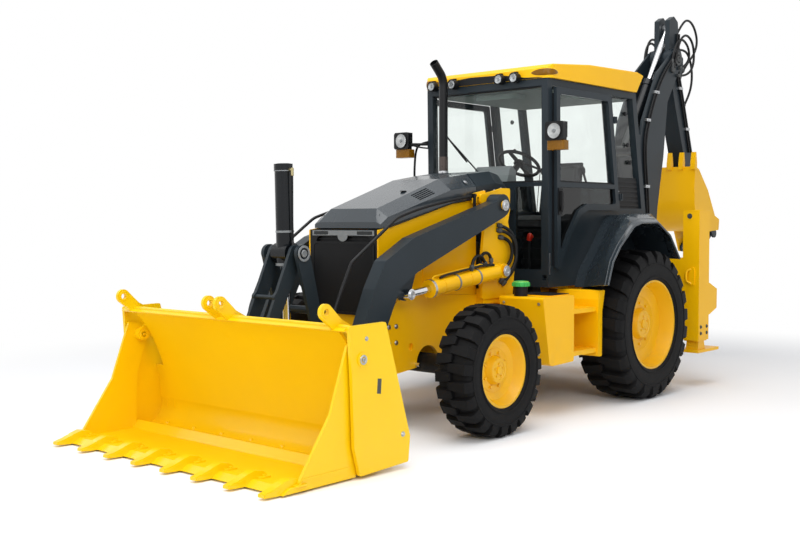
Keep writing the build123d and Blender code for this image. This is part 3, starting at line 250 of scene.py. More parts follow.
def mesh_screen():
    """Black perforated sheet: staggered holes as bump and shade."""
    s = Shader("grille_mesh", 0.4, spec=0.15)
    holes = s.add("ShaderNodeTexVoronoi")
    holes.inputs["Scale"].default_value = 130
    holes.inputs["Randomness"].default_value = 0.12
    s.link(s.where, holes.inputs["Vector"])
    s.colour(s.ramp(holes.outputs["Distance"], [(0.28, srgb(3, 3, 4)), (0.42, srgb(21, 22, 25))]))
    s.bump(holes.outputs["Distance"], 0.5, 0.0015)
    return s.mat


M["screen"] = mesh_screen()

FINISH = {
    "yellow": "main_frame loader_towers hood_side_panels cab_roof side_tank_and_steps lift_barrels "
        "clam_barrels rear_frame stabilizer_leg_left stabilizer_leg_right slide_carriage "
        "swing_post backhoe_bucket",
    "grey": "engine",
    "gloss": "hood rear_fenders",
    "plastic": "grille lamps controls",
    "black": "exhaust_stack front_axle knuckle_left knuckle_right rear_axle",
    "dark": "cab_shell door_left door_right loader_boom guide_link bucket_link backhoe_boom dipper "
        "rocker_link push_link",
    "glass": "cab_glass door_glass_left door_glass_right",
    "vinyl": "operator_chair",
    "rim": "rim_front_left rim_front_right rim_rear_left rim_rear_right",
    "rubber": "tyre_front_left tyre_front_right tyre_rear_left tyre_rear_right",
    "barrel": "tilt_barrel boom_barrel crowd_barrel dipper_barrel",
    "chrome": "tilt_rod lift_rods clam_rods swing_rod_left swing_rod_right boom_rod crowd_rod "
        "dipper_rod",
    "bucket": "bucket_back bucket_jaw",
}
for finish, names in FINISH.items():
    for name in names.split():
        NODES[name].data.materials.clear()
        NODES[name].data.materials.append(M[finish])


# ---- mesh tools
def add_object(name, data):
    obj = bpy.data.objects.new(name, data)
    bpy.context.scene.collection.objects.link(obj)
    return obj


def at(x, behind, z):
    """A point from its place across, behind the front axle and above the ground."""
    return Vector((x, AXLE_Y + behind, z))


def piece(name, build, mat, body="root", smooth=30, bevel=0.0):
    """An object from a bmesh builder, riding on a body."""
    mesh = bpy.data.meshes.new(name)
    work = bmesh.new()
    build(work)
    if bevel:
        sharp = [e for e in work.edges if len(e.link_faces) == 2
            and e.calc_face_angle(0) > math.radians(40)]
        bmesh.ops.bevel(work, geom=sharp, offset=bevel, segments=2, affect="EDGES", profile=0.5,
            clamp_overlap=True)
    bmesh.ops.recalc_face_normals(work, faces=work.faces)
    for face in work.faces:
        face.smooth = True
    for edge in work.edges:
        if len(edge.link_faces) == 2 and edge.calc_face_angle(0) > math.radians(smooth):
            edge.smooth = False
    work.to_mesh(mesh)
    work.free()
    mesh.materials.append(M[mat] if isinstance(mat, str) else mat)
    obj = add_object(name, mesh)
    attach(obj, body)
    return obj


def basis(axis):
    """Rotation that turns +Z to axis."""
    return Vector(axis).normalized().to_track_quat("Z", "Y").to_matrix()


def add_prism(work, outline, low, high, turn, origin):
    """A straight prism of a plane outline between two heights of a turned frame."""
    bottom = [work.verts.new(origin + turn @ Vector((x, y, low))) for x, y in outline]
    top = [work.verts.new(origin + turn @ Vector((x, y, high))) for x, y in outline]
    n = len(outline)
    work.faces.new(list(reversed(bottom)))
    work.faces.new(top)
    for i in range(n):
        work.faces.new((bottom[i], bottom[(i + 1) % n], top[(i + 1) % n], top[i]))


def turns(n, start=0.0):
    """n even angles round a circle; start is a share of one step."""
    return [2 * math.pi * (i + start) / n for i in range(n)]


def bridge(work, rings):
    """Faces from ring to ring, and over the first and the last."""
    n = len(rings[0])
    for a, b in zip(rings[:-1], rings[1:]):
        for i in range(n):
            work.faces.new((a[i], a[(i + 1) % n], b[(i + 1) % n], b[i]))
    work.faces.new(list(reversed(rings[0])))
    work.faces.new(rings[-1])


def ring(radius, n):
    return [(radius * math.cos(a), radius * math.sin(a)) for a in turns(n)]


def rect(w, h, r=0.0, n=4):
    """A rectangle outline, with round corners if r is given."""
    if not r:
        return [(-w / 2, -h / 2), (w / 2, -h / 2), (w / 2, h / 2), (-w / 2, h / 2)]
    points = []
    for k, (sx, sy) in enumerate(((1, 1), (-1, 1), (-1, -1), (1, -1))):
        for i in range(n + 1):
            a = math.pi / 2 * (k + i / n)
            points.append((sx * (w / 2 - r) + r * math.cos(a), sy * (h / 2 - r) + r * math.sin(a)))
    return points


def add_lathe(work, rows, axis, origin, n=32, closed=False):
    """A solid of revolution: rows are (along, radius) from end to end."""
    turn = basis(axis)
    rings = []
    for along, radius in rows:
        if radius < 1e-6:
            rings.append([work.verts.new(origin + turn @ Vector((0, 0, along)))])
        else:
            rings.append([work.verts.new(origin + turn @ Vector((x, y, along)))
                for x, y in ring(radius, n)])
    pairs = list(zip(rings[:-1], rings[1:])) + ([(rings[-1], rings[0])] if closed else [])
    for a, b in pairs:
        for i in range(n):
            j = (i + 1) % n
            if len(a) == 1 and len(b) == 1:
                continue
            if len(a) == 1:
                work.faces.new((a[0], b[j], b[i]))
            elif len(b) == 1:
                work.faces.new((a[i], a[j], b[0]))
            else:
                work.faces.new((a[i], a[j], b[j], b[i]))


def add_bolt(work, origin, axis, r=0.011, h=0.011):
    """A hexagon head on a washer."""
    add_lathe(work, [(0, 0), (0, r * 1.45), (h * 0.2, r * 1.45), (h * 0.2, 0)], axis, origin, 16)
    add_prism(work, ring(r, 6), h * 0.2, h, basis(axis), origin)


def wire(name, route, radius, mat, body="root", place=at, cyclic=False, order=3, res=10):
    """A round bar, pipe or clipped hose along a smooth route of a few control points."""
    data = bpy.data.curves.new(name, "CURVE")
    data.dimensions = "3D"
    data.bevel_depth = radius
    data.bevel_resolution = 4
    data.resolution_u = res
    data.use_fill_caps = True
    spline = data.splines.new("NURBS")
    points = [place(*spot) for spot in route]
    spline.points.add(len(points) - 1)
    for p, q in zip(spline.points, points):
        p.co = (*q, 1)
    spline.order_u = min(order, len(points))
    spline.use_endpoint_u = not cyclic
    spline.use_cyclic_u = cyclic
    data.materials.append(M[mat])
    obj = add_object(name, data)
    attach(obj, body)
    return obj


# ---- tyres
TYRES = [  # end, radius, half width, rim radius, behind, outer x, lug pitch count, lug height
    ("front", FRONT_RADIUS, 0.15, 0.265, 0.0, 1.096, 23, 0.026),
    ("rear", REAR_RADIUS, 0.22, 0.386, WHEELBASE, 1.096, 23, 0.036),
]


def tyre(side_name, sign, row):
    end, radius, half, rim, behind, outer, count, lug = row
    centre = at(sign * (outer - half), behind, radius)
    crown = radius - lug

    profile = [(-half + 0.046, rim - 0.016), (-half + 0.033, rim + 0.001), (-half + 0.018, rim + 0.003),
        (-half + 0.01, rim + 0.016), (-half + 0.004, rim + 0.035),
        (-half + 0.001, (crown + rim) / 2 - 0.01), (-half + 0.001, (crown + rim) / 2 + 0.02),
        (-half + 0.008, crown - 0.055), (-half + 0.02, crown - 0.028), (-half + 0.045, crown - 0.012),
        (-half * 0.4, crown - 0.003), (0, crown)]
    profile += [(-x, r) for x, r in reversed(profile[:-1])]

    def lug_bar(work, angle, mirror):
        """One bar of the tread, from the middle out over the shoulder."""
        steps = 9
        rows = []
        width_in, width_out = (0.054, 0.08) if end == "front" else (0.062, 0.104)
        for i in range(steps):
            t = i / (steps - 1)
            x = mirror * (-0.012 + t * (half + 0.01))
            bend = (0.02 if end == "front" else 0.09) * t ** 0.9
            mid = angle + bend
            w = (width_in + (width_out - width_in) * t) / 2 / radius
            tt = abs(x) / half
            top = radius - 0.01 * tt ** 2 - 0.016 * max(0, (tt - 0.8) / 0.2) ** 2
            base = crown - 0.012 - (0.055 * max(0, tt - 0.8) / 0.2)
            if tt > 0.98:
                x = mirror * half * 0.995
                top = crown - 0.012
                base = crown - 0.075
            rows.append((x, mid, w, top, base))
        rings = []
        for x, mid, w, top, base in rows:
            quad = []
            for a, r in ((mid - w * 1.25, base), (mid - w, top), (mid + w, top),
                    (mid + w * 1.25, base)):
                quad.append(
                    work.verts.new(centre + Vector((sign * x, math.cos(a) * r, math.sin(a) * r))))
            rings.append(quad)
        bridge(work, rings)

    def carcass(work):
        add_lathe(work, profile, (sign, 0, 0), centre, 96, closed=True)
        for r, x in ((rim + 0.03, half - 0.001), ((crown + rim) / 2 + 0.03, half + 0.0005)):
            rows = [(x - 0.004, r - 0.007), (x + 0.0025, r - 0.004), (x + 0.0025, r + 0.004),
                (x - 0.004, r + 0.007)]
            add_lathe(work, rows, (sign, 0, 0), centre, 96)

    def tread(work):
        for a in turns(count):
            lug_bar(work, a, 1)
            lug_bar(work, a + math.pi / count, -1)

    body = f"wheel_{end}_{side_name}"
    shell = piece(f"tyre_{end}_{side_name}_carcass", carcass, "rubber", body, smooth=50)
    piece(f"tyre_{end}_{side_name}_tread", tread, "rubber", body, smooth=40, bevel=0.003)
    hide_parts(f"tyre_{end}_{side_name}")


for row in TYRES:
    tyre("left", 1, row)
    tyre("right", -1, row)

# ---- shapes for the details
SIDE = Matrix(((0, 0, 1), (1, 0, 0), (0, 1, 0)))      # outline (y, z), thickness along X
FRONT = Matrix(((1, 0, 0), (0, 0, -1), (0, 1, 0)))    # outline (x, z), thickness to the front
LEVEL = Matrix.Identity(3)                            # outline (x, y), thickness up
LEFT, FORE, UP = (1, 0, 0), (0, -1, 0), (0, 0, 1)


def side_plate(work, outline, low, high):
    """A plate from an outline of (behind, height) points, between two stations across."""
    add_prism(work, [(AXLE_Y + y, z) for y, z in outline], low, high, SIDE, Vector())


def front_plate(work, outline, behind, depth):
    """A plate from an outline of (across, height) points, standing out to the front."""
    add_prism(work, outline, 0, depth, FRONT, at(0, behind, 0))


def flat_plate(work, outline, low, high):
    """A plate from an outline of (across, behind) points, between two heights."""
    add_prism(work, [(x, AXLE_Y + y) for x, y in outline], low, high, LEVEL, Vector())


SIDES = ((1, "left"), (-1, "right"))


def sided(sign):
    """For one side: a point and a pair of stations across, both given as on the left."""
    def spot(x, behind, z):
        return at(sign * x, behind, z)

    def span(a, b):
        return sorted((sign * a, sign * b))
    return spot, span


def oblong(left, right, low, high):
    return [(left, low), (right, low), (right, high), (left, high)]


def shift(outline, dx, dy):
    return [(x + dx, y + dy) for x, y in outline]


def washer(work, origin, axis, outer, inner, thick):
    """A flat ring with eased edges."""
    e = min(thick, outer - inner) * 0.25
    rows = [(0, inner), (0, outer), (thick - e, outer), (thick, outer - e), (thick, inner + e),
        (thick - e, inner)]
    add_lathe(work, rows, axis, Vector(origin), 28, closed=True)


def pin_cap(work, origin, axis, r, h):
    """The end of a pivot pin: turned rim, sunk middle and a grease nipple."""
    rows = [(0, r), (h * 0.7, r), (h, r * 0.9), (h, r * 0.62), (h * 0.55, r * 0.55),
        (h * 0.55, r * 0.2), (h * 1.1, r * 0.16), (h * 1.1, 0)]
    add_lathe(work, rows, axis, Vector(origin), 28)


def hoses(name, routes, body, radius, place=at):
    """Rigid hoses, each with a crimped fitting at both ends."""
    for i, route in enumerate(routes):
        wire(f"{name}_{i}", route, radius, "hose", body, place, res=8)

    def build(work):
        for route in routes:
            for a, b in (route[:2], (route[-1], route[-2])):
                a = place(*a)
                run = place(*b) - a
                rows = [(-0.012, 0), (-0.012, radius * 1.1), (0.0, radius * 1.1),
                    (0.002, radius * 1.45), (0.03, radius * 1.45), (0.034, radius * 1.1), (0.034, 0)]
                add_lathe(work, rows, run, a, 14)
    piece(f"{name}_fittings", build, "grey", body)


# ---- grille and hood
GRILLE_Z, GRILLE_FACE = 1.135, -0.5483
RIM_FACE = -0.5487 - 0.004


def headlight_band(work):
    low, high = 1.447, 1.484
    tab = [(0.052 * math.cos(a), low - 0.045 * math.sin(a))
        for a in (math.pi * i / 12 for i in range(13))]
    outline = ([(-0.318, high), (-0.318, low - 0.002)] + sorted(tab)
        + [(0.318, low - 0.002), (0.318, high)])
    front_plate(work, outline, -0.548, 0.0035)


piece("headlight_band", headlight_band, "trim", bevel=0.0008)
piece("headlight_lenses", lambda w: [front_plate(w, shift(rect(0.15, 0.026, 0.008), x, 1.4655), -0.5512,
    0.002) for x in (-0.225, 0.225)], "dark_glass")
piece("headlight_bowls", lambda w: [front_plate(w, shift(rect(0.146, 0.022, 0.008), x, 1.4655), -0.5505,
    0.0012) for x in (-0.225, 0.225)], "reflector")
piece("grille_screen", lambda w: front_plate(w, shift(rect(0.6, 0.5, 0.03), 0, GRILLE_Z), GRILLE_FACE,
    0.0022), "screen", bevel=0.0006)


def grille_rim(work):
    outer, inner = rect(0.64, 0.53, 0.036), rect(0.606, 0.504, 0.03)
    front = [work.verts.new(at(x, RIM_FACE, z + GRILLE_Z)) for x, z in outer]
    ins = [work.verts.new(at(x, RIM_FACE, z + GRILLE_Z)) for x, z in inner]
    back = [work.verts.new(at(x, GRILLE_FACE, z + GRILLE_Z)) for x, z in outer]
    deep = [work.verts.new(at(x, GRILLE_FACE, z + GRILLE_Z)) for x, z in inner]
    for i in range(len(outer)):
        j = (i + 1) % len(outer)
        for a, b in ((back, front), (front, ins), (ins, deep), (deep, back)):
            work.faces.new((a[i], a[j], b[j], b[i]))


piece("grille_rim", grille_rim, "plastic")
for sign, tag in SIDES:
    end = (at(sign * 0.3245, 0.505, 1.8585), (sign * 0.71, 0, 0.71))
    piece(f"hood_latch_{tag}", lambda w: [washer(w, *end, 0.019, 0.012, 0.004),
        pin_cap(w, *end, 0.012, 0.006)], "steel", "hood")
piece("hood_plug", lambda w: add_lathe(w, [(0, 0.026), (0.004, 0.026), (0.006, 0.02), (0.002, 0.014),
    (0.002, 0)], UP, at(0.15, -0.04, 1.778), 24), "plastic", "hood")
for sign, tag in SIDES:
    wire(f"hood_edge_seal_{tag}",
        [(sign * 0.361, y, z) for y, z in ((-0.43, 1.508), (0.278, 1.686), (0.598, 1.727))], 0.005,
        "plastic", "hood", order=2)
piece("cowl_bolts", lambda w: [add_bolt(w, at(s * 0.361, y, z), (s, 0, 0), 0.008, 0.007)
    for s in (1, -1) for y, z in ((0.7, 1.79), (0.84, 1.8), (0.93, 1.815))], "steel")

# ---- exhaust
EX, EY = -0.33, 1.035
piece("exhaust_clamp", lambda w: [washer(w, at(EX, EY, 1.95), UP, 0.0435, 0.0378, 0.034),
    add_bolt(w, at(EX + 0.018, EY - 0.041, 1.967), FORE, 0.006, 0.01)], "steel")
piece("exhaust_sleeve", lambda w: washer(w, at(EX, EY, 1.986), UP, 0.0405, 0.0379, 0.12), "bronze")
piece("exhaust_guard", lambda w: [washer(w, at(EX, EY, z), UP, 0.0545, 0.0518, 0.012)
    for z in (1.4, 1.62, 1.905)], "bronze")


# ---- lamps and roof
LAMPS, LAMP_Z = (-0.54, -0.31, 0.19, 0.345), 2.738


def bowl(work, origin, axis, r):
    rows = [(-0.002, r), (0.001, r), (-0.006, r * 0.72), (-0.0075, r * 0.35), (-0.0075, 0)]
    add_lathe(work, rows, axis, Vector(origin), 28)


piece("lamp_bowls", lambda w: [bowl(w, at(x, 1.1205, LAMP_Z), FORE, 0.0345) for x in LAMPS],
    "reflector", smooth=40)
piece("lamp_bezels", lambda w: [washer(w, at(x, 1.1235, LAMP_Z), FORE, 0.0445, 0.0355, 0.009)
    for x in LAMPS], "black")
piece("lamp_glasses", lambda w: [add_lathe(w, [(0, 0.0352), (0.004, 0.033), (0.0075, 0.02), (0.009, 0)],
    FORE, at(x, 1.1195, LAMP_Z), 28) for x in LAMPS], "lens", smooth=60)
piece("lamp_bulbs", lambda w: [add_lathe(w, [(-0.004, 0.008), (0.004, 0.007), (0.006, 0)], FORE,
    at(x, 1.1265, LAMP_Z), 16) for x in LAMPS], "trim", smooth=35)


def brow(work):
    outline = [(-0.64, 2.7215), (-0.6, 2.735), (-0.42, 2.742), (-0.35, 2.772), (-0.15, 2.786),
        (0.168, 2.778), (0.3, 2.758), (0.42, 2.736), (0.56, 2.728), (0.6, 2.7215)]
    front_plate(work, outline, 1.1802, 0.003)


piece("roof_brow", brow, "plastic", bevel=0.0008)


def corner_lens(sign, grow=0.0):
    """An oval lens wrapped round a front corner of the roof."""
    def spot(u, v, out):
        s = u * (0.15 + grow) - 0.035
        z = 2.768 + v * (0.032 + grow)
        arc = 0.07 * math.pi / 4
        if abs(s) <= arc:
            a = s / 0.07
            off = Vector((math.sin(math.pi / 4 + a), -math.cos(math.pi / 4 + a)))
            xy = Vector((0.6, 1.25)) + off * (0.07 + out)
        elif s < 0:
            xy = Vector((0.6 + (s + arc), 1.18 - out))
        else:
            xy = Vector((0.67 + out, 1.25 + (s - arc)))
        return at(sign * xy.x, xy.y, z)

    def build(work):
        rings = []
        for k in range(6):
            r = 1 - k / 5.5
            out = -0.002 + 0.011 * math.sqrt(max(0.0, 1 - r * r)) + (0.0015 if k else 0)
            if grow:
                out = min(out, 0.0035)
            rings.append([work.verts.new(spot(r * math.cos(a), r * math.sin(a), out))
                for a in turns(36)])
        bridge(work, rings)
    return build


for sign, tag in SIDES:
    spot, _ = sided(sign)
    piece(f"roof_lens_{tag}", corner_lens(sign), "amber", smooth=50)
    piece(f"roof_lens_rim_{tag}", corner_lens(sign, 0.009), "yellow", smooth=50)
    # signal and work lamp: a square case round the lamp, the amber signal under it
    x, z = sign * 0.812, 2.268
    piece(f"work_lamp_case_{tag}", lambda w: front_plate(w, shift(rect(0.172, 0.15, 0.022), x, z),
        1.0595, 0.034), "black", bevel=0.006)
    piece(f"work_lamp_frame_{tag}", lambda w: washer(w, at(x, 1.025, z), FORE, 0.07, 0.061, 0.008),
        "black")
    piece(f"work_lamp_bowl_{tag}", lambda w: add_lathe(w, [(0, 0), (0, 0.062), (0.004, 0.062),
        (0.0015, 0.045), (0.001, 0.02), (0.003, 0)], FORE, at(x, 1.0252, z), 32), "reflector",
        smooth=40)
    piece(f"work_lamp_bulb_{tag}", lambda w: add_lathe(w, [(0, 0.016), (0.005, 0.014), (0.007, 0)],
        FORE, at(x, 1.0225, z), 20), "trim", smooth=35)
    piece(f"indicator_{tag}", lambda w: add_prism(w, rect(0.158, 0.086, 0.012), 2.118, 2.1925, LEVEL,
        at(x, 1.082, 0)), "amber", bevel=0.004)
    wire(f"lamp_brace_{tag}", [(0.648, 1.222, 2.205), (0.7, 1.17, 2.205), (0.775, 1.115, 2.235)], 0.007,
        "plastic", place=spot)
wire("front_grab_rail", [(-0.645, 1.215, 2.262), (-0.745, 1.205, 2.25), (-0.79, 1.2, 2.19),
    (-0.806, 1.2, 2.0), (-0.8, 1.2, 1.9), (-0.7, 1.21, 1.872), (-0.645, 1.22, 1.87)], 0.01, "black")
piece("rear_work_lamp", lambda w: [add_lathe(w, [(-0.03, 0.02), (-0.03, 0.038), (0.02, 0.043),
    (0.024, 0.036), (0.018, 0)], (0.2, 1, -0.15), at(s * 0.56, 2.735, 2.775), 24) for s in (1, -1)],
    "black", smooth=40)

# ---- cab
piece("roof_liner", lambda w: flat_plate(w, oblong(-0.575, 0.575, 1.262, 2.56), 2.64, 2.652), "liner",
    bevel=0.003)
piece("liner_console", lambda w: [flat_plate(w, shift(rect(0.42, 0.22, 0.05), 0, 1.42), 2.596, 2.6405),
    flat_plate(w, shift(rect(0.2, 0.3, 0.03), 0.44, 1.8), 2.6, 2.6405)], "liner", bevel=0.01)


def dash(work):
    outline = [(1.255, 1.858), (1.3, 2.0), (1.33, 2.022), (1.39, 1.985), (1.398, 1.858)]
    side_plate(work, outline, -0.185, 0.185)


piece("dash_pod", dash, "soft_grey", bevel=0.014)
piece("dash_face", lambda w: side_plate(w, [(1.3935, 1.865), (1.3935, 1.965), (1.3985, 1.965),
    (1.4005, 1.865)], -0.15, 0.15), "dark_glass")
wire("wiper_arm", [(-0.06, 1.2145, 1.945), (-0.15, 1.203, 2.04), (-0.435, 1.204, 2.3)], 0.0065,
    "plastic")
wire("wiper_blade", [(-0.21, 1.2125, 2.065), (-0.33, 1.2115, 2.185), (-0.47, 1.2125, 2.335)], 0.0075,
    "plastic")
piece("wiper_hub", lambda w: add_lathe(w, [(0, 0.018), (0.02, 0.016), (0.024, 0.008), (0.024, 0)], FORE,
    at(-0.06, 1.2145, 1.945), 18), "plastic")
piece("windshield_seal", lambda w: [front_plate(w, oblong(-0.58, 0.58, z, z + 0.012), 1.2145, 0.004)
    for z in (1.8725, 2.646)], "plastic", bevel=0.001)
piece("foot_grip", lambda w: [add_lathe(w, [(0, 0.021), (0.012, 0.024), (0.05, 0.022), (0.062, 0.012),
    (0.062, 0)], (0.3, -0.2, 1), at(0.32, 1.4, 1.385), 20),
    add_lathe(w, [(0, 0.012), (0.03, 0.012), (0.034, 0)], (1, 0, 0.2), at(0.325, 1.4, 1.41), 14)],
    "red", smooth=40)
piece("foot_grip_post", lambda w: add_lathe(w, [(0, 0.01), (0.36, 0.01), (0.36, 0)], UP,
    at(0.32, 1.4, 1.028), 12), "plastic", smooth=40)
for tag, x, lean in (("left", 0.2, 0.02), ("right", -0.2, -0.02)):
    wire(f"hoe_lever_{tag}", [(x, 2.6, 1.595), (x, 2.56, 1.8), (x + lean, 2.46, 1.93),
        (x + lean, 2.42, 2.0)], 0.011, "plastic")
    piece(f"hoe_lever_knob_{tag}", lambda w: add_lathe(w, [(-0.02, 0.012), (0, 0.022), (0.03, 0.026),
        (0.055, 0.018), (0.06, 0)], (0, -0.5, 1), at(x + lean, 2.42, 2.0), 20), "plastic", smooth=50)
STEERING_CENTRE, STEERING_AXIS = (0, 1.702, 2.06), (0, 0.55, 0.83)
piece("steering_hub", lambda w: add_lathe(w, [(-0.01, 0.05), (0.018, 0.048), (0.03, 0.03), (0.03, 0)],
    STEERING_AXIS, at(*STEERING_CENTRE), 24), "plastic", smooth=40)
for i, a in enumerate((math.pi / 2, math.pi * 1.17, math.pi * 1.83)):
    def spoke(r, h):
        flat = Vector((r * math.cos(a), r * math.sin(a), h))
        return at(*STEERING_CENTRE) + basis(STEERING_AXIS) @ flat
    wire(f"steering_spoke_{i}", [(0.03, 0.012), (0.1, 0.016), (0.178, 0.002)], 0.01, "plastic",
        place=spoke)

for sign, tag in SIDES:
    spot, span = sided(sign)
    # quarter window: louvred lower panel, latches and frame
    def louvre(work):
        side_plate(work, [(2.372, 1.643), (2.745, 1.643), (2.69, 1.94), (2.325, 1.94)],
            *span(0.611, 0.618))
        for k in range(6):
            z = 1.68 + 0.043 * k
            a = 2.38 - (z - 1.64) * 0.16
            b = 2.735 - (z - 1.64) * 0.184
            side_plate(work, [(a, z), (b, z), (b - 0.003, z + 0.018), (a - 0.003, z + 0.018)],
                *span(0.617, 0.627))
    piece(f"louvre_{tag}", louvre, "plastic", bevel=0.002)
    piece(f"quarter_latches_{tag}", lambda w: [add_lathe(w, [(0, 0.01), (0.012, 0.01), (0.012, 0.021),
        (0.024, 0.021), (0.028, 0.014), (0.028, 0)], (sign, 0, 0), spot(0.609, y, z), 20)
        for y, z in ((2.47, 2.518), (2.515, 2.238), (2.56, 2.08))], "plastic")
    piece(f"pillar_strip_{tag}", lambda w: side_plate(w, oblong(1.222, 1.236, 1.105, 1.285),
        *span(0.6395, 0.6435)), "steel", bevel=0.001)
    body = f"door_{tag}"

    def lower_door(work):
        side_plate(work, [(1.325, 1.226), (1.453, 1.424), (1.615, 1.631), (1.748, 1.684),
            (2.236, 1.684), (2.215, 1.836), (1.312, 1.836)], *span(0.6522, 0.6552))
    piece(f"door_lower_panel_{tag}", lower_door, "dark_glass", body)
    piece(f"door_seal_{tag}", lambda w: [side_plate(w, [(1.302, 1.8705), (2.202, 1.8705), (2.2, 1.8845),
        (1.302, 1.8845)], *span(0.6535, 0.662))], "plastic", body)

    def handle(work):
        side_plate(work, [(1.288, 1.6), (1.345, 1.6), (1.352, 1.66), (1.346, 1.815), (1.29, 1.822),
            (1.284, 1.7)], *span(0.6815, 0.6905))
        side_plate(work, [(1.3, 1.628), (1.322, 1.628), (1.324, 1.7), (1.32, 1.795), (1.3, 1.795)],
            *span(0.69, 0.716))
        side_plate(work, [(1.3, 1.64), (1.34, 1.64), (1.342, 1.668), (1.3, 1.668)], *span(0.69, 0.702))
    piece(f"door_handle_{tag}", handle, "plastic", body, bevel=0.005)
    piece(f"hinge_bolts_{tag}", lambda w: [add_bolt(w, spot(0.6395, 2.345 - (z - 1.64) * 0.158, z + dz),
        (sign, 0, 0), 0.009, 0.008) for z in (1.76, 2.44) for dz in (-0.052, 0.052)], "steel")
    fender = [(1.38, 1.03), (1.458, 1.218), (1.574, 1.344), (1.804, 1.512), (1.93, 1.538),
        (2.215, 1.54), (2.44, 1.425), (2.626, 1.215)]
    hub = Vector((WHEELBASE, REAR_RADIUS))
    lip = [Vector(p) - (Vector(p) - hub).normalized() * 0.006 for p in fender]
    wire(f"fender_lip_{tag}", [(1.099, p.x, p.y) for p in lip], 0.0095, "gloss", order=2, place=spot)
    crease = [(1.392, 1.028), (1.466, 1.22), (1.582, 1.35), (1.81, 1.534), (1.935, 1.566),
        (2.225, 1.57), (2.455, 1.44), (2.638, 1.215)]
    wire(f"fender_crease_{tag}", [(1.066, y, z - 0.004) for y, z in crease], 0.0065, "gloss", order=2,
        place=spot)

# ---- tank, steps and frame
FILLER = (0.7, 0.735)
for name, x in (("tank_pad", 0.765), ("tank_pad_right", -0.765)):
    piece(name, lambda w: flat_plate(w, shift(rect(0.33, 0.28, 0.012), x, 0.94), 0.9675, 0.9725),
        "rubber", bevel=0.001)
piece("filler_neck", lambda w: washer(w, at(*FILLER, 0.9605), UP, 0.0535, 0.0515, 0.0765), "plastic")


def filler_cap(work):
    add_lathe(work, [(0, 0.0622), (0, 0.0655), (0.03, 0.0665), (0.04, 0.06), (0.044, 0.03), (0.044, 0)],
        UP, at(*FILLER, 1.0365), 36)
    for a in turns(12):
        add_prism(work, shift(rect(0.008, 0.008), 0.0655 * math.cos(a), 0.0655 * math.sin(a)), 0.002,
            0.03, LEVEL, at(*FILLER, 1.0365))


piece("filler_cap", filler_cap, "green", bevel=0.001)
piece("tank_bolts", lambda w: [add_bolt(w, at(s * x, 0.6585, z), FORE, 0.009, 0.008) for s in (1, -1)
    for x in (0.59, 0.92) for z in (0.52, 0.91)], "steel")


def step_treads(work):
    for s in (1, -1):
        for z in (0.5, 0.84):
            for k in range(7):
                x = 0.6 + 0.052 * k
                flat_plate(work, shift(rect(0.022, 0.3, 0.009), s * x, 1.285), z - 0.001, z + 0.004)


piece("step_treads", step_treads, "yellow", bevel=0.0015)
piece("frame_bolts", lambda w: [add_bolt(w, at(s * 0.3598, y, z), (s, 0, 0), 0.013, 0.011)
    for s in (1, -1) for y, z in ((-0.44, 0.78), (-0.36, 0.78), (-0.44, 0.66), (-0.36, 0.66),
    (0.3, 0.62), (0.42, 0.62), (0.54, 0.62))], "steel")
piece("panel_latches", lambda w: [[washer(w, at(s * 0.3578, y, z), (s, 0, 0), 0.017, 0.01, 0.003),
    pin_cap(w, at(s * 0.3578, y, z), (s, 0, 0), 0.01, 0.004)] for s in (1, -1)
    for y, z in ((-0.42, 1.15), (0.52, 1.1))], "steel")


RAM = (0, -0.14, 0.478)


def steering_ram(work):
    add_lathe(work, [(-0.22, 0), (-0.22, 0.03), (-0.205, 0.034), (0.205, 0.034), (0.22, 0.03),
        (0.22, 0)], LEFT, at(*RAM), 24)
    for x in (-0.12, 0.12):
        add_prism(work, rect(0.03, 0.05), -0.03, 0.03, LEVEL, at(x, -0.108, RAM[2]))


piece("steering_ram", steering_ram, "black", bevel=0.002)
piece("steering_ram_rod", lambda w: add_lathe(w, [(-0.4, 0), (-0.4, 0.015), (0.4, 0.015), (0.4, 0)],
    LEFT, at(*RAM), 18), "chrome")

# ---- wheels
for end, behind, z, rim_x, disc_x, hub_r, count, circle in (
        ("front", 0.0, FRONT_RADIUS, 0.946, 0.03, 0.09, 8, 0.128),
        ("rear", WHEELBASE, REAR_RADIUS, 0.876, 0.05, 0.12, 10, 0.18)):
    for sign, tag in SIDES:
        spot, _ = sided(sign)
        origin = spot(rim_x, behind, z)
        face_x = disc_x + 0.006

        def nuts(work):
            for a in turns(count, 0.5):
                centre = origin + Vector((sign * (face_x - 0.0005), circle * math.cos(a),
                    circle * math.sin(a)))
                add_bolt(work, centre, (sign, 0, 0), 0.0125, 0.016)

        def hub(work):
            x = disc_x + 0.05
            washer(work, origin + Vector((sign * (x - 0.002), 0, 0)), (sign, 0, 0), hub_r * 0.96,
                hub_r * 0.74, 0.006)
            add_lathe(work, [(0, 0.0), (0, hub_r * 0.34), (0.012, hub_r * 0.32), (0.016, hub_r * 0.2),
                (0.016, 0)], (sign, 0, 0), origin + Vector((sign * (x - 0.001), 0, 0)), 28)
            washer(work, origin + Vector((sign * (face_x - 0.001), 0, 0)), (sign, 0, 0), circle + 0.032,
                circle - 0.03, 0.004)

        def hub_bolts(work):
            for a in turns(5, 0.25):
                centre = origin + Vector((sign * (disc_x + 0.0495), 0.54 * hub_r * math.cos(a),
                    0.54 * hub_r * math.sin(a)))
                add_bolt(work, centre, (sign, 0, 0), 0.0075, 0.009)

        body = f"wheel_{end}_{tag}"
        piece(f"wheel_nuts_{end}_{tag}", nuts, "rim", body)
        piece(f"hub_cover_{end}_{tag}", hub, "rim", body, bevel=0.0008)
        piece(f"hub_bolts_{end}_{tag}", hub_bolts, "rim", body)

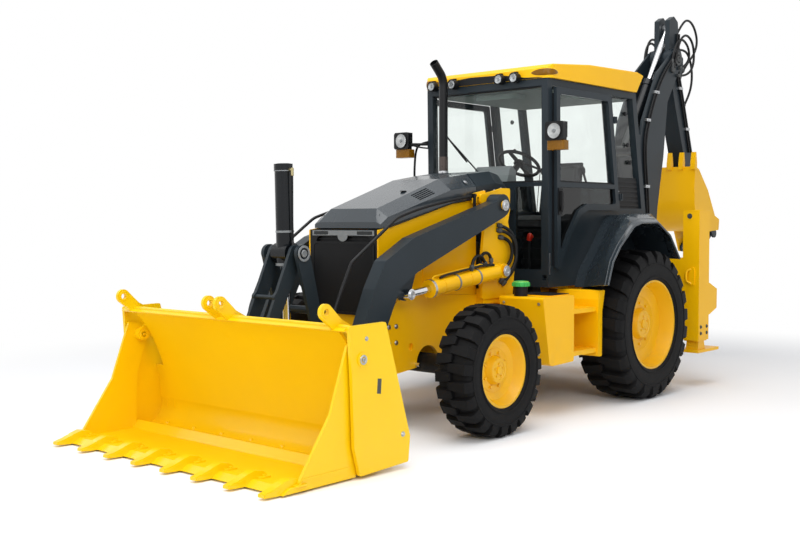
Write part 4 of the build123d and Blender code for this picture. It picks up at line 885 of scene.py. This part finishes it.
# ---- pin ends
LIFT_PIVOT = (0.7, 1.155)       # behind the front axle, and height
CLAM_PIN = (-1.568, 0.725)
PIN_ENDS = {  # name, places, collar (outer, inner, thick), cap (radius, height), finish, body
    "loader": [
        ("tower_pins", [(0.5885, 0.68, 1.674), (0.5885, *LIFT_PIVOT)],
            (0.044, 0.03, 0.006), (0.03, 0.01), "steel", "root"),
        ("lift_eye_caps", [(0.5465, -0.4, 1.025)], None, (0.03, 0.01), "steel", "lift_rods"),
        ("bucket_pin_caps", [(0.5995, -1.165, 0.245)], None, (0.024, 0.01), "steel", "bucket_back"),
        ("trunnion_cap", [(0.1885, -1.12, 1.33)], (0.056, 0.04, 0.006), (0.026, 0.009),
            "trim", "tilt_barrel"),
        ("guide_pin_cap", [(0.2055, -0.95, 0.695)], None, (0.024, 0.008), "steel", "loader_boom")],
    "clam": [
        ("clam_pin_cap", [(1.1745, *CLAM_PIN)], (0.03, 0.018, 0.005), (0.013, 0.008),
            "steel", "bucket_back")],
    "backhoe": [
        ("knee_cap", [(0.159, 4.41, 3.276)], (0.072, 0.045, 0.008), (0.034, 0.012), "grey", "dipper"),
        ("boom_foot_cap", [(0.159, 3.78, 0.8)], None, (0.036, 0.012), "steel", "swing_post"),
        ("dipper_end_cap", [(0.1425, 5.08, 1.52)], None, (0.032, 0.01), "steel", "backhoe_bucket"),
        ("rocker_cap", [(0.1745, 4.99, 1.76)], None, (0.03, 0.01), "steel", "dipper")],
}


def pin_ends(group, sign, tag):
    for name, places, collar, cap, finish, body in PIN_ENDS[group]:
        def build(work):
            for x, behind, z in places:
                end = (at(sign * x, behind, z), (sign, 0, 0))
                if collar:
                    washer(work, *end, *collar)
                pin_cap(work, *end, *cap)
        piece(f"{name}_{tag}", build, finish, body)


# ---- loader
for sign, tag in SIDES:
    spot, span = sided(sign)
    pin_ends("loader", sign, tag)
    # lift barrel: clamp band, steel line along its top and short hoses at its base
    run = Vector((0, -1.1, -0.13)).normalized()
    top = Vector((0, run.z, -run.y))

    def along(s, up, x=0.0):
        return spot(0.515 + x, *LIFT_PIVOT) + run * s + top * up
    piece(f"lift_bands_{tag}", lambda w: [washer(w, along(s, 0), run, 0.0635, 0.0595, 0.022)
        for s in (0.4, 0.72)], "yellow", "lift_barrels")
    piece(f"lift_gland_{tag}", lambda w: washer(w, along(0.855, 0), run, 0.0705, 0.0675, 0.022),
        "steel", "lift_barrels")
    wire(f"lift_line_{tag}", [(0.2, 0.066), (0.22, 0.085), (0.3, 0.083), (0.78, 0.083), (0.82, 0.083),
        (0.835, 0.066)], 0.008, "yellow", "lift_barrels", place=along)
    hoses(f"lift_hose_{tag}", [[(0.2, 0.06, -0.02), (0.215, 0.13, -0.025), (0.13, 0.17, -0.03),
        (0.05, 0.13, -0.035), (0.06, 0.075, -0.03)], [(0.38, 0.07, 0.02), (0.36, 0.135, 0.02),
        (0.28, 0.165, 0.01), (0.2, 0.14, 0.0), (0.17, 0.066, 0.0)]], "lift_barrels", radius=0.013,
        place=along)
    wire(f"lift_hose_run_{tag}", [(s, u, 0.026) for s, u in ((0.1, 0.062), (0.2, 0.08), (0.45, 0.078),
        (0.74, 0.078), (0.77, 0.066))], 0.01, "hose", "lift_barrels", place=along)
    piece(f"lift_clamps_{tag}", lambda w: [washer(w, along(s, 0), run, 0.0645, 0.06, 0.016)
        for s in (0.3, 0.56)], "trim", "lift_barrels")
    # hoses between the tower and the cylinder's base
    hoses(f"tower_hose_{tag}", [[(0.452, 0.77, 1.515), (0.48, 0.86, 1.5), (0.497, 0.95, 1.4),
        (0.5, 0.965, 1.27), (0.49, 0.93, 1.15), (0.47, 0.865, 1.08), (0.452, 0.835, 1.04)],
        [(0.452, 0.765, 1.475), (0.505, 0.835, 1.465), (0.52, 0.915, 1.37), (0.52, 0.93, 1.25),
        (0.5, 0.895, 1.15), (0.47, 0.84, 1.11), (0.452, 0.8, 1.06)],
        [(0.452, 0.785, 1.42), (0.485, 0.86, 1.41), (0.5, 0.905, 1.32), (0.49, 0.895, 1.23),
        (0.47, 0.86, 1.18), (0.452, 0.82, 1.165)]], "root", radius=0.014, place=spot)
    # the steel line that runs beside the hood and bends down in front of the grille
    line = [(0.5, 1.752), (0.46, 1.748), (-0.1, 1.664), (-0.4, 1.585), (-0.43, 1.572), (-0.46, 1.556),
        (-0.87, 1.288), (-0.905, 1.262), (-0.925, 1.222), (-1.05, 0.99), (-1.085, 0.9), (-1.08, 0.85),
        (-0.99, 0.66), (-0.96, 0.6)]
    wire(f"arm_line_{tag}", [(0.432, y, z) for y, z in line], 0.0115, "black", "loader_boom", res=6,
        place=spot)
    piece(f"arm_line_post_{tag}", lambda w: [side_plate(w, [(0.446, 1.6), (0.47, 1.6), (0.474, 1.765),
        (0.45, 1.765)], *span(0.4445, 0.4575)), add_prism(w, rect(0.034, 0.034, 0.006), -0.012, 0.012,
        basis((0, 1, 0.15)), spot(0.436, 0.46, 1.748))], "black", "loader_boom", bevel=0.002)
    piece(f"hood_catch_{tag}", lambda w: side_plate(w, [(0.5, 1.69), (0.53, 1.694), (0.536, 1.738),
        (0.64, 1.756), (0.64, 1.792), (0.51, 1.768)], *span(0.392, 0.4215)), "yellow", bevel=0.003)

TILT = Vector((0, -0.02, 0.875)).normalized()


def up_tilt(s, x=0.0, y=0.0):
    return at(x, -1.1, 0.455) + TILT * s + Vector((0, y, 0))


piece("tilt_bands", lambda w: [washer(w, up_tilt(1.02), TILT, 0.0655, 0.0615, 0.014),
    washer(w, up_tilt(1.446), TILT, 0.068, 0.0655, 0.006),
    washer(w, up_tilt(0.79), TILT, 0.07, 0.0675, 0.018)], "trim", "tilt_barrel")
piece("tilt_end", lambda w: add_lathe(w, [(0, 0.05), (0.004, 0.05), (0.006, 0.04), (0.006, 0)], TILT,
    up_tilt(1.495), 28), "barrel", "tilt_barrel")
wire("tilt_line", [(1.455, 0.07), (1.455, 0.088), (1.4, 0.09), (1.1, 0.08), (1.0, 0.08), (0.96, 0.072)],
    0.0075, "black", "tilt_barrel", place=up_tilt)
piece("tilt_fitting", lambda w: [add_lathe(w, [(0, 0.012), (0.022, 0.012), (0.024, 0.009),
    (0.034, 0.009), (0.034, 0)], LEFT, up_tilt(1.455, 0.064), 16), add_lathe(w,
    [(-0.012, 0.011), (0.04, 0.011), (0.044, 0.008), (0.044, 0)], -TILT, up_tilt(1.455, 0.09), 16)],
    "brass", "tilt_barrel")
wire("tilt_hose_low", [(0.96, 0.076), (0.93, 0.1, -0.01), (0.86, 0.1, -0.06), (0.82, 0.085, -0.07)],
    0.01, "hose", "tilt_barrel", place=up_tilt)

# ---- multipurpose bucket
TEETH_X = [(i - 3.5) * 0.306 for i in range(8)]


def tooth_adapters(work):
    """A forged nose over each tooth: broad at the blade, narrow at the point."""
    rows = [(-2.005, 0.036, 0.04, 0.058), (-2.035, 0.04, 0.04, 0.08), (-2.1, 0.04, 0.012, 0.092),
        (-2.165, 0.036, 0.01, 0.074), (-2.172, 0.0335, 0.011, 0.069), (-2.23, 0.0325, 0.013, 0.05),
        (-2.29, 0.029, 0.016, 0.036)]
    for x in TEETH_X:
        rings = []
        for y, half, low, high in rows:
            rings.append([work.verts.new(at(x + sx * half * (0.8 if z == high else 1.0), y, z))
                for sx, z in ((-1, low), (1, low), (1, high), (-1, high))])
        bridge(work, rings)


piece("tooth_adapters", tooth_adapters, "bucket", "bucket_jaw", bevel=0.0025)
piece("tooth_shoes", lambda w: [flat_plate(w, shift(rect(0.15, 0.085, 0.018), x, -2.045), 0.0455,
    0.0555) for x in TEETH_X], "bucket", "bucket_jaw", bevel=0.002)
piece("tooth_bolts", lambda w: [add_bolt(w, at(x + dx, -2.048, 0.055), UP, 0.0125, 0.012)
    for x in TEETH_X for dx in (-0.056, 0.056)], "bucket", "bucket_jaw")
piece("jaw_welds", lambda w: [side_plate(w, [(-2.04, 0.07), (-2.03, 0.085), (-1.64, 0.085),
    (-1.64, 0.07)], *sorted((s * 1.128, s * 1.1315))) for s in (1, -1)], "bucket", "bucket_jaw",
    bevel=0.001)
piece("floor_bolts", lambda w: [add_lathe(w, [(-0.004, 0.016), (0.003, 0.015), (0.005, 0.011),
    (0.002, 0.006), (0.002, 0)], (0, -0.78, 0.62), at(x, -1.437, 0.0605), 18)
    for x in (-0.96, -0.645, -0.33, -0.015, 0.3, 0.615, 0.93)], "bucket", "bucket_back")


def top_lip(work):
    """The folded spill guard along the bucket's top edge."""
    side_plate(work, [(-1.7, 0.905), (-1.694, 0.899), (-1.64, 0.926), (-1.636, 0.936), (-1.646, 0.937)],
        -1.134, 1.134)


piece("spill_guard", top_lip, "bucket", "bucket_back", bevel=0.001)
for sign, tag in SIDES:
    spot, span = sided(sign)
    piece(f"end_plate_bolts_{tag}", lambda w: [add_bolt(w, spot(1.1645, -1.202, 0.221), (sign, 0, 0),
        0.012, 0.01), add_bolt(w, spot(1.1645, -1.53, 0.848), (sign, 0, 0), 0.01, 0.008)], "steel",
        "bucket_back")
    pin_ends("clam", sign, tag)
    # painted shade: a thin grey sheet on the end plate stands for the dark inside of the slot
    piece(f"end_plate_slot_shade_{tag}", lambda w: side_plate(w, [(-1.44, 0.505), (-1.405, 0.5),
        (-1.398, 0.592), (-1.432, 0.597)], *span(1.1645, 1.1657)), "grey", "bucket_back")
    end = (spot(1.0495, *CLAM_PIN), (-sign, 0, 0))
    piece(f"jaw_pivot_disc_{tag}", lambda w: [washer(w, *end, 0.036, 0.02, 0.006),
        pin_cap(w, *end, 0.013, 0.009)], "bucket", "bucket_jaw")
for x in (-1.038, -0.06, 0.06, 1.038):
    piece(f"fork_ear_ring_{'m' if x < 0 else 'p'}{abs(x) * 1000:.0f}",
        lambda w: [washer(w, at(x + s * 0.0115, -1.753, 1.015), (s, 0, 0), 0.034, 0.0205, 0.004)
        for s in (1, -1)], "bucket", "bucket_back")

# ---- backhoe
BOOM_EDGE = [(3.735, 0.95), (3.735, 1.64), (3.632, 2.25), (3.7, 2.56), (3.995, 3.08), (4.23, 3.255)]
for sign, tag in SIDES:
    spot, span = sided(sign)
    side_x = (sign, 0, 0)
    for k, dy in enumerate((0.03, 0.072)):
        wire(f"boom_line_{tag}_{k}", [(0.16, y + dy, z) for y, z in BOOM_EDGE], 0.01, "black",
            "backhoe_boom", place=spot)
    piece(f"boom_line_clamps_{tag}",
        lambda w: [[side_plate(w, oblong(y + 0.01, y + 0.095, z - 0.014, z + 0.014),
        *span(0.1475, 0.174)), add_bolt(w, spot(0.1735, y + 0.052, z), side_x, 0.007, 0.007)]
        for y, z in ((3.735, 1.2), (3.69, 1.9), (3.7, 2.58), (3.88, 2.88))], "steel", "backhoe_boom",
        bevel=0.002)
    pin_ends("backhoe", sign, tag)
    # loops that carry the lines over the knee, held on the boom's head
    hoses(f"knee_hose_{tag}", [[(0.162, 4.262, 3.225), (0.176, 4.3, 3.4), (0.18, 4.44, 3.5),
        (0.18, 4.6, 3.43), (0.176, 4.64, 3.3), (0.172, 4.52, 3.2), (0.162, 4.44, 3.18)],
        [(0.162, 4.3, 3.13), (0.188, 4.34, 3.42), (0.196, 4.5, 3.56), (0.196, 4.69, 3.47),
        (0.19, 4.72, 3.23), (0.176, 4.56, 3.1), (0.162, 4.4, 3.1)]], "backhoe_boom", radius=0.0125,
        place=spot)
    piece(f"knee_manifold_{tag}", lambda w: add_prism(w, rect(0.045, 0.1, 0.008), -0.01, 0.012,
        basis(side_x), spot(0.16, 4.28, 3.175)), "grey", "backhoe_boom", bevel=0.002)
    # lines on the dipper
    for k, dy in enumerate((0.0, 0.042)):
        wire(f"dipper_line_{tag}_{k}", [(0.102, y + dy, z) for y, z in ((4.5, 3.56), (4.48, 3.3),
            (4.5, 3.1), (4.64, 2.78), (4.8, 2.3))], 0.01, "black", "dipper", place=spot)
    piece(f"dipper_line_clamps_{tag}",
        lambda w: [side_plate(w, oblong(y - 0.02, y + 0.064, z - 0.014, z + 0.014),
        *span(0.0895, 0.114)) for y, z in ((4.555, 2.98), (4.72, 2.55))], "steel", "dipper",
        bevel=0.002)
hoses("dipper_hose", [[(0.035, 4.6, 3.56), (0.055, 4.72, 3.73), (0.062, 4.86, 3.76),
    (0.065, 4.985, 3.68), (0.065, 5.05, 3.54), (0.062, 4.98, 3.4), (0.055, 4.85, 3.3),
    (0.045, 4.735, 3.18)], [(-0.035, 4.6, 3.48), (-0.08, 4.78, 3.56), (-0.105, 4.96, 3.47),
    (-0.11, 5.04, 3.3), (-0.105, 4.99, 3.14), (-0.095, 4.88, 3.06), (-0.085, 4.78, 2.98)],
    [(0.035, 4.59, 3.4), (0.06, 4.76, 3.44), (0.066, 4.9, 3.3), (0.066, 4.93, 3.1), (0.06, 4.86, 2.92),
    (0.045, 4.765, 2.8)]], "dipper", radius=0.0125)

# stands: bolts, pull ring and foot details
for sign, tag in SIDES:
    spot, _ = sided(sign)
    piece(f"stand_bolts_{tag}", lambda w: [add_bolt(w, spot(0.992, 3.0302, 1.59), FORE, 0.017, 0.014),
        [add_bolt(w, spot(1.0895, y, z), (sign, 0, 0), 0.012, 0.01) for y in (3.075, 3.195)
        for z in (0.5, 0.56)]], "grey")
    piece(f"stand_caps_{tag}",
        lambda w: flat_plate(w, shift(rect(0.168, 0.21, 0.008), sign * 1.008, 3.1335), 1.638, 1.648),
        "yellow", bevel=0.002)
    wire(f"stand_ring_{tag}", [(1.013, 3.024, 0.965), (0.975, 3.01, 0.975), (0.97, 3.004, 1.03),
        (0.972, 3.01, 1.085), (1.013, 3.024, 1.098)], 0.01, "yellow", place=spot)
    piece(f"stand_ring_plate_{tag}",
        lambda w: front_plate(w, shift(rect(0.05, 0.17, 0.02), sign * 1.02, 1.032), 3.0302, 0.01),
        "yellow", bevel=0.002)

# ---- pressed skins
def skin(node, mat, smooth):
    """A node's own skin, welded where its faces meet so that its bends shade as curves."""
    def build(work):
        work.from_mesh(NODES[node].data)
        bmesh.ops.remove_doubles(work, verts=work.verts, dist=0.0004)
        bmesh.ops.dissolve_limit(work, angle_limit=0.01, verts=work.verts, edges=work.edges)
    obj = piece(f"{node}_skin", build, mat, smooth=smooth)
    obj.modifiers.new("weighted", "WEIGHTED_NORMAL").keep_sharp = True
    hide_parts(node)


skin("rear_fenders", "gloss", 46)
skin("cab_roof", "yellow", 40)

# seals that close the joint between the front pillars and the doors
for sign, tag in SIDES:
    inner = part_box(f"door_{tag}")[0 if sign > 0 else 1].x - sign * 0.001
    piece(f"pillar_seal_{tag}", lambda w: side_plate(w, oblong(1.262, 1.3, 1.18, 2.6),
        *sorted((inner, inner - sign * 0.034))), "plastic", bevel=0.003)

# ---- operator's chair
def soft_block(work, centre, size, lean=0.0, radius=0.03):
    """A rounded block standing square, leaned back about its foot."""
    cx, cy, cz = centre
    outline = rect(size[0], size[1], radius)
    half = size[2] / 2
    rings = []
    for z, inset in ((-half, 0.022), (-half + 0.008, 0.009), (-half + 0.022, 0.0), (half - 0.022, 0.0),
            (half - 0.008, 0.009), (half, 0.022)):
        rings.append([work.verts.new(at(cx + x * (1 - 2 * inset / size[0]),
            cy + y * (1 - 2 * inset / size[1]) + lean * (z + half), cz + z)) for x, y in outline])
    bridge(work, rings)


def cushion(name, build, cap):
    """A stuffed piece: its block is remeshed, blown up as cloth, held within cap and applied."""
    obj = piece(name, build, "vinyl", smooth=180)
    scene = bpy.context.scene
    remesh = obj.modifiers.new("remesh", "REMESH")
    remesh.mode = "VOXEL"
    remesh.voxel_size = 0.007

    def settle():
        graph = bpy.context.evaluated_depsgraph_get()
        made = bpy.data.meshes.new_from_object(obj.evaluated_get(graph))
        obj.modifiers.clear()
        obj.data = made
        obj.data.name = name

    settle()
    rest = [v.co.copy() for v in obj.data.vertices]
    cloth = obj.modifiers.new("cloth", "CLOTH")
    cloth.settings.use_pressure = True
    cloth.settings.uniform_pressure_force = 4
    cloth.settings.effector_weights.gravity = 0
    cloth.settings.mass = 0.3
    cloth.collision_settings.use_collision = False
    cloth.point_cache.frame_start, cloth.point_cache.frame_end = 1, 20
    for frame_no in range(1, 21):
        scene.frame_set(frame_no)
    settle()
    scene.frame_set(1)
    for vertex, start in zip(obj.data.vertices, rest):
        move = vertex.co - start
        if move.length > cap:
            vertex.co = start + move.normalized() * cap
    obj.modifiers.new("smooth", "SUBSURF").levels = 1
    settle()
    for face in obj.data.polygons:
        face.use_smooth = True
    if not obj.data.materials:
        obj.data.materials.append(M["vinyl"])
    return obj


seat_pad = cushion("chair_seat_pad", lambda w: soft_block(w, (0, 2.06, 1.53), (0.466, 0.466, 0.104),
    radius=0.06), 0.016)
back_pad = cushion("chair_back_pad", lambda w: soft_block(w, (0, 2.33, 1.835), (0.43, 0.078, 0.48),
    lean=0.145, radius=0.03), 0.014)
back_shell = piece("chair_back_shell", lambda w: side_plate(w,
    [(2.345, 1.5), (2.366, 1.5), (2.447, 2.085), (2.428, 2.092)], -0.205, 0.205), "plastic",
    bevel=0.006)
base = piece("chair_suspension", lambda w: [flat_plate(w, shift(rect(0.296 - 0.026 * (k % 2),
    0.266 - 0.026 * (k % 2), 0.02), 0, 2.065), 1.05 + 0.05 * k, 1.1 + 0.05 * k)
    for k in range(8)] + [flat_plate(w, shift(rect(0.298, 0.268, 0.01), 0, 2.065), 1.0305, 1.052),
    flat_plate(w, shift(rect(0.4, 0.4, 0.03), 0, 2.06), 1.45, 1.474)], "plastic", bevel=0.004)
for obj in (base, seat_pad, back_pad, back_shell):
    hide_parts("operator_chair")
for name, loop in (("seat", [(x, y, 1.556) for x, y in shift(rect(0.478, 0.478, 0.07), 0, 2.06)]),
        ("back", [(x, 2.268 + 0.145 * (z + 0.24), 1.835 + z) for x, z in rect(0.4, 0.45, 0.06)])):
    wire(f"chair_{name}_seam", loop, 0.0035, "plastic", cyclic=True)

# ---- stage, light, camera
def seen_directly(tree):
    """1 on camera, glossy and transmission rays, which see the plain white background."""
    path = tree.nodes.new("ShaderNodeLightPath")
    fac = path.outputs["Is Camera Ray"]
    for kind in ("Is Glossy Ray", "Is Transmission Ray"):
        fac = do_math(tree, "MAXIMUM", fac, path.outputs[kind])
    return fac


floor_mesh = bpy.data.meshes.new("floor")
work = bmesh.new()
bmesh.ops.create_grid(work, x_segments=1, y_segments=1, size=60)
work.to_mesh(floor_mesh)
work.free()
floor = add_object("floor", floor_mesh)
s = Shader("floor", 0.9, spec=0.1)
s.colour(s.ramp(s.noise(0.6, 2), [(0.2, srgb(252, 252, 253)), (0.9, srgb(250, 250, 251))]))
away = s.add("ShaderNodeVectorMath", operation="LENGTH")
s.link(s.where, away.inputs[0])
fade = s.add("ShaderNodeMapRange", interpolation_type="SMOOTHSTEP")
fade.inputs["From Min"].default_value = 3.6
fade.inputs["From Max"].default_value = 7.0
s.link(away.outputs["Value"], fade.inputs[0])
amount = s.math("MULTIPLY", seen_directly(s.tree), fade.outputs[0])
white = s.add("ShaderNodeEmission")
white.inputs["Strength"].default_value = 1.0
blend = s.add("ShaderNodeMixShader")
s.link(amount, blend.inputs[0])
s.link(s.bsdf.outputs[0], blend.inputs[1])
s.link(white.outputs[0], blend.inputs[2])
s.link(blend.outputs[0], s.out.inputs["Surface"])
floor_mesh.materials.append(s.mat)

world = bpy.data.worlds.new("studio")
bpy.context.scene.world = world
world.use_nodes = True
wt = world.node_tree
wt.nodes.clear()
out = wt.nodes.new("ShaderNodeOutputWorld")
mix = wt.nodes.new("ShaderNodeMixShader")
seen = wt.nodes.new("ShaderNodeBackground")
seen.inputs["Color"].default_value = (1, 1, 1, 1)
lit = wt.nodes.new("ShaderNodeBackground")
lit.inputs["Color"].default_value = (0.93, 0.96, 1.0, 1)
lit.inputs["Strength"].default_value = 0.42
wt.links.new(seen_directly(wt), mix.inputs[0])
wt.links.new(lit.outputs[0], mix.inputs[1])
wt.links.new(seen.outputs[0], mix.inputs[2])
wt.links.new(mix.outputs[0], out.inputs[0])


def softbox(name, place, target, size, power):
    data = bpy.data.lights.new(name, "AREA")
    data.shape = "RECTANGLE"
    data.size, data.size_y = size
    data.energy = power
    lamp = add_object(name, data)
    lamp.location = place
    lamp.rotation_mode = "QUATERNION"
    lamp.rotation_quaternion = (Vector(target) - Vector(place)).to_track_quat("-Z", "Y")


softbox("overhead", (1.5, -2.0, 8.5), (0, 0, 1), (7, 9), 540)
softbox("front", (-1.0, -10.5, 5.0), (0, -1.5, 0.8), (6, 4), 215)
softbox("key_front_left", (8.0, -7.5, 6.0), (0, -1, 1.2), (5, 4), 350)
softbox("fill_right", (-8.5, -4.0, 4.5), (0, 0, 1.2), (5, 4), 110)

camera_data = bpy.data.cameras.new("photo_camera")
camera_data.sensor_width = 36
camera_data.lens = 47.93
camera_data.clip_end = 200
camera = add_object("photo_camera", camera_data)
yaw, pitch, roll = (math.radians(degrees) for degrees in (41.51, -2.5, -0.12))
forward = Vector((-math.sin(yaw) * math.cos(pitch), math.cos(yaw) * math.cos(pitch), math.sin(pitch)))
camera.location = (5.5367, -7.7066, 1.5597)
camera.rotation_mode = "QUATERNION"
camera.rotation_quaternion = forward.to_track_quat("-Z", "Y") @ Matrix.Rotation(roll, 3,
    "Z").to_quaternion()
bpy.context.scene.camera = camera
bpy.context.scene.view_settings.view_transform = "Standard"
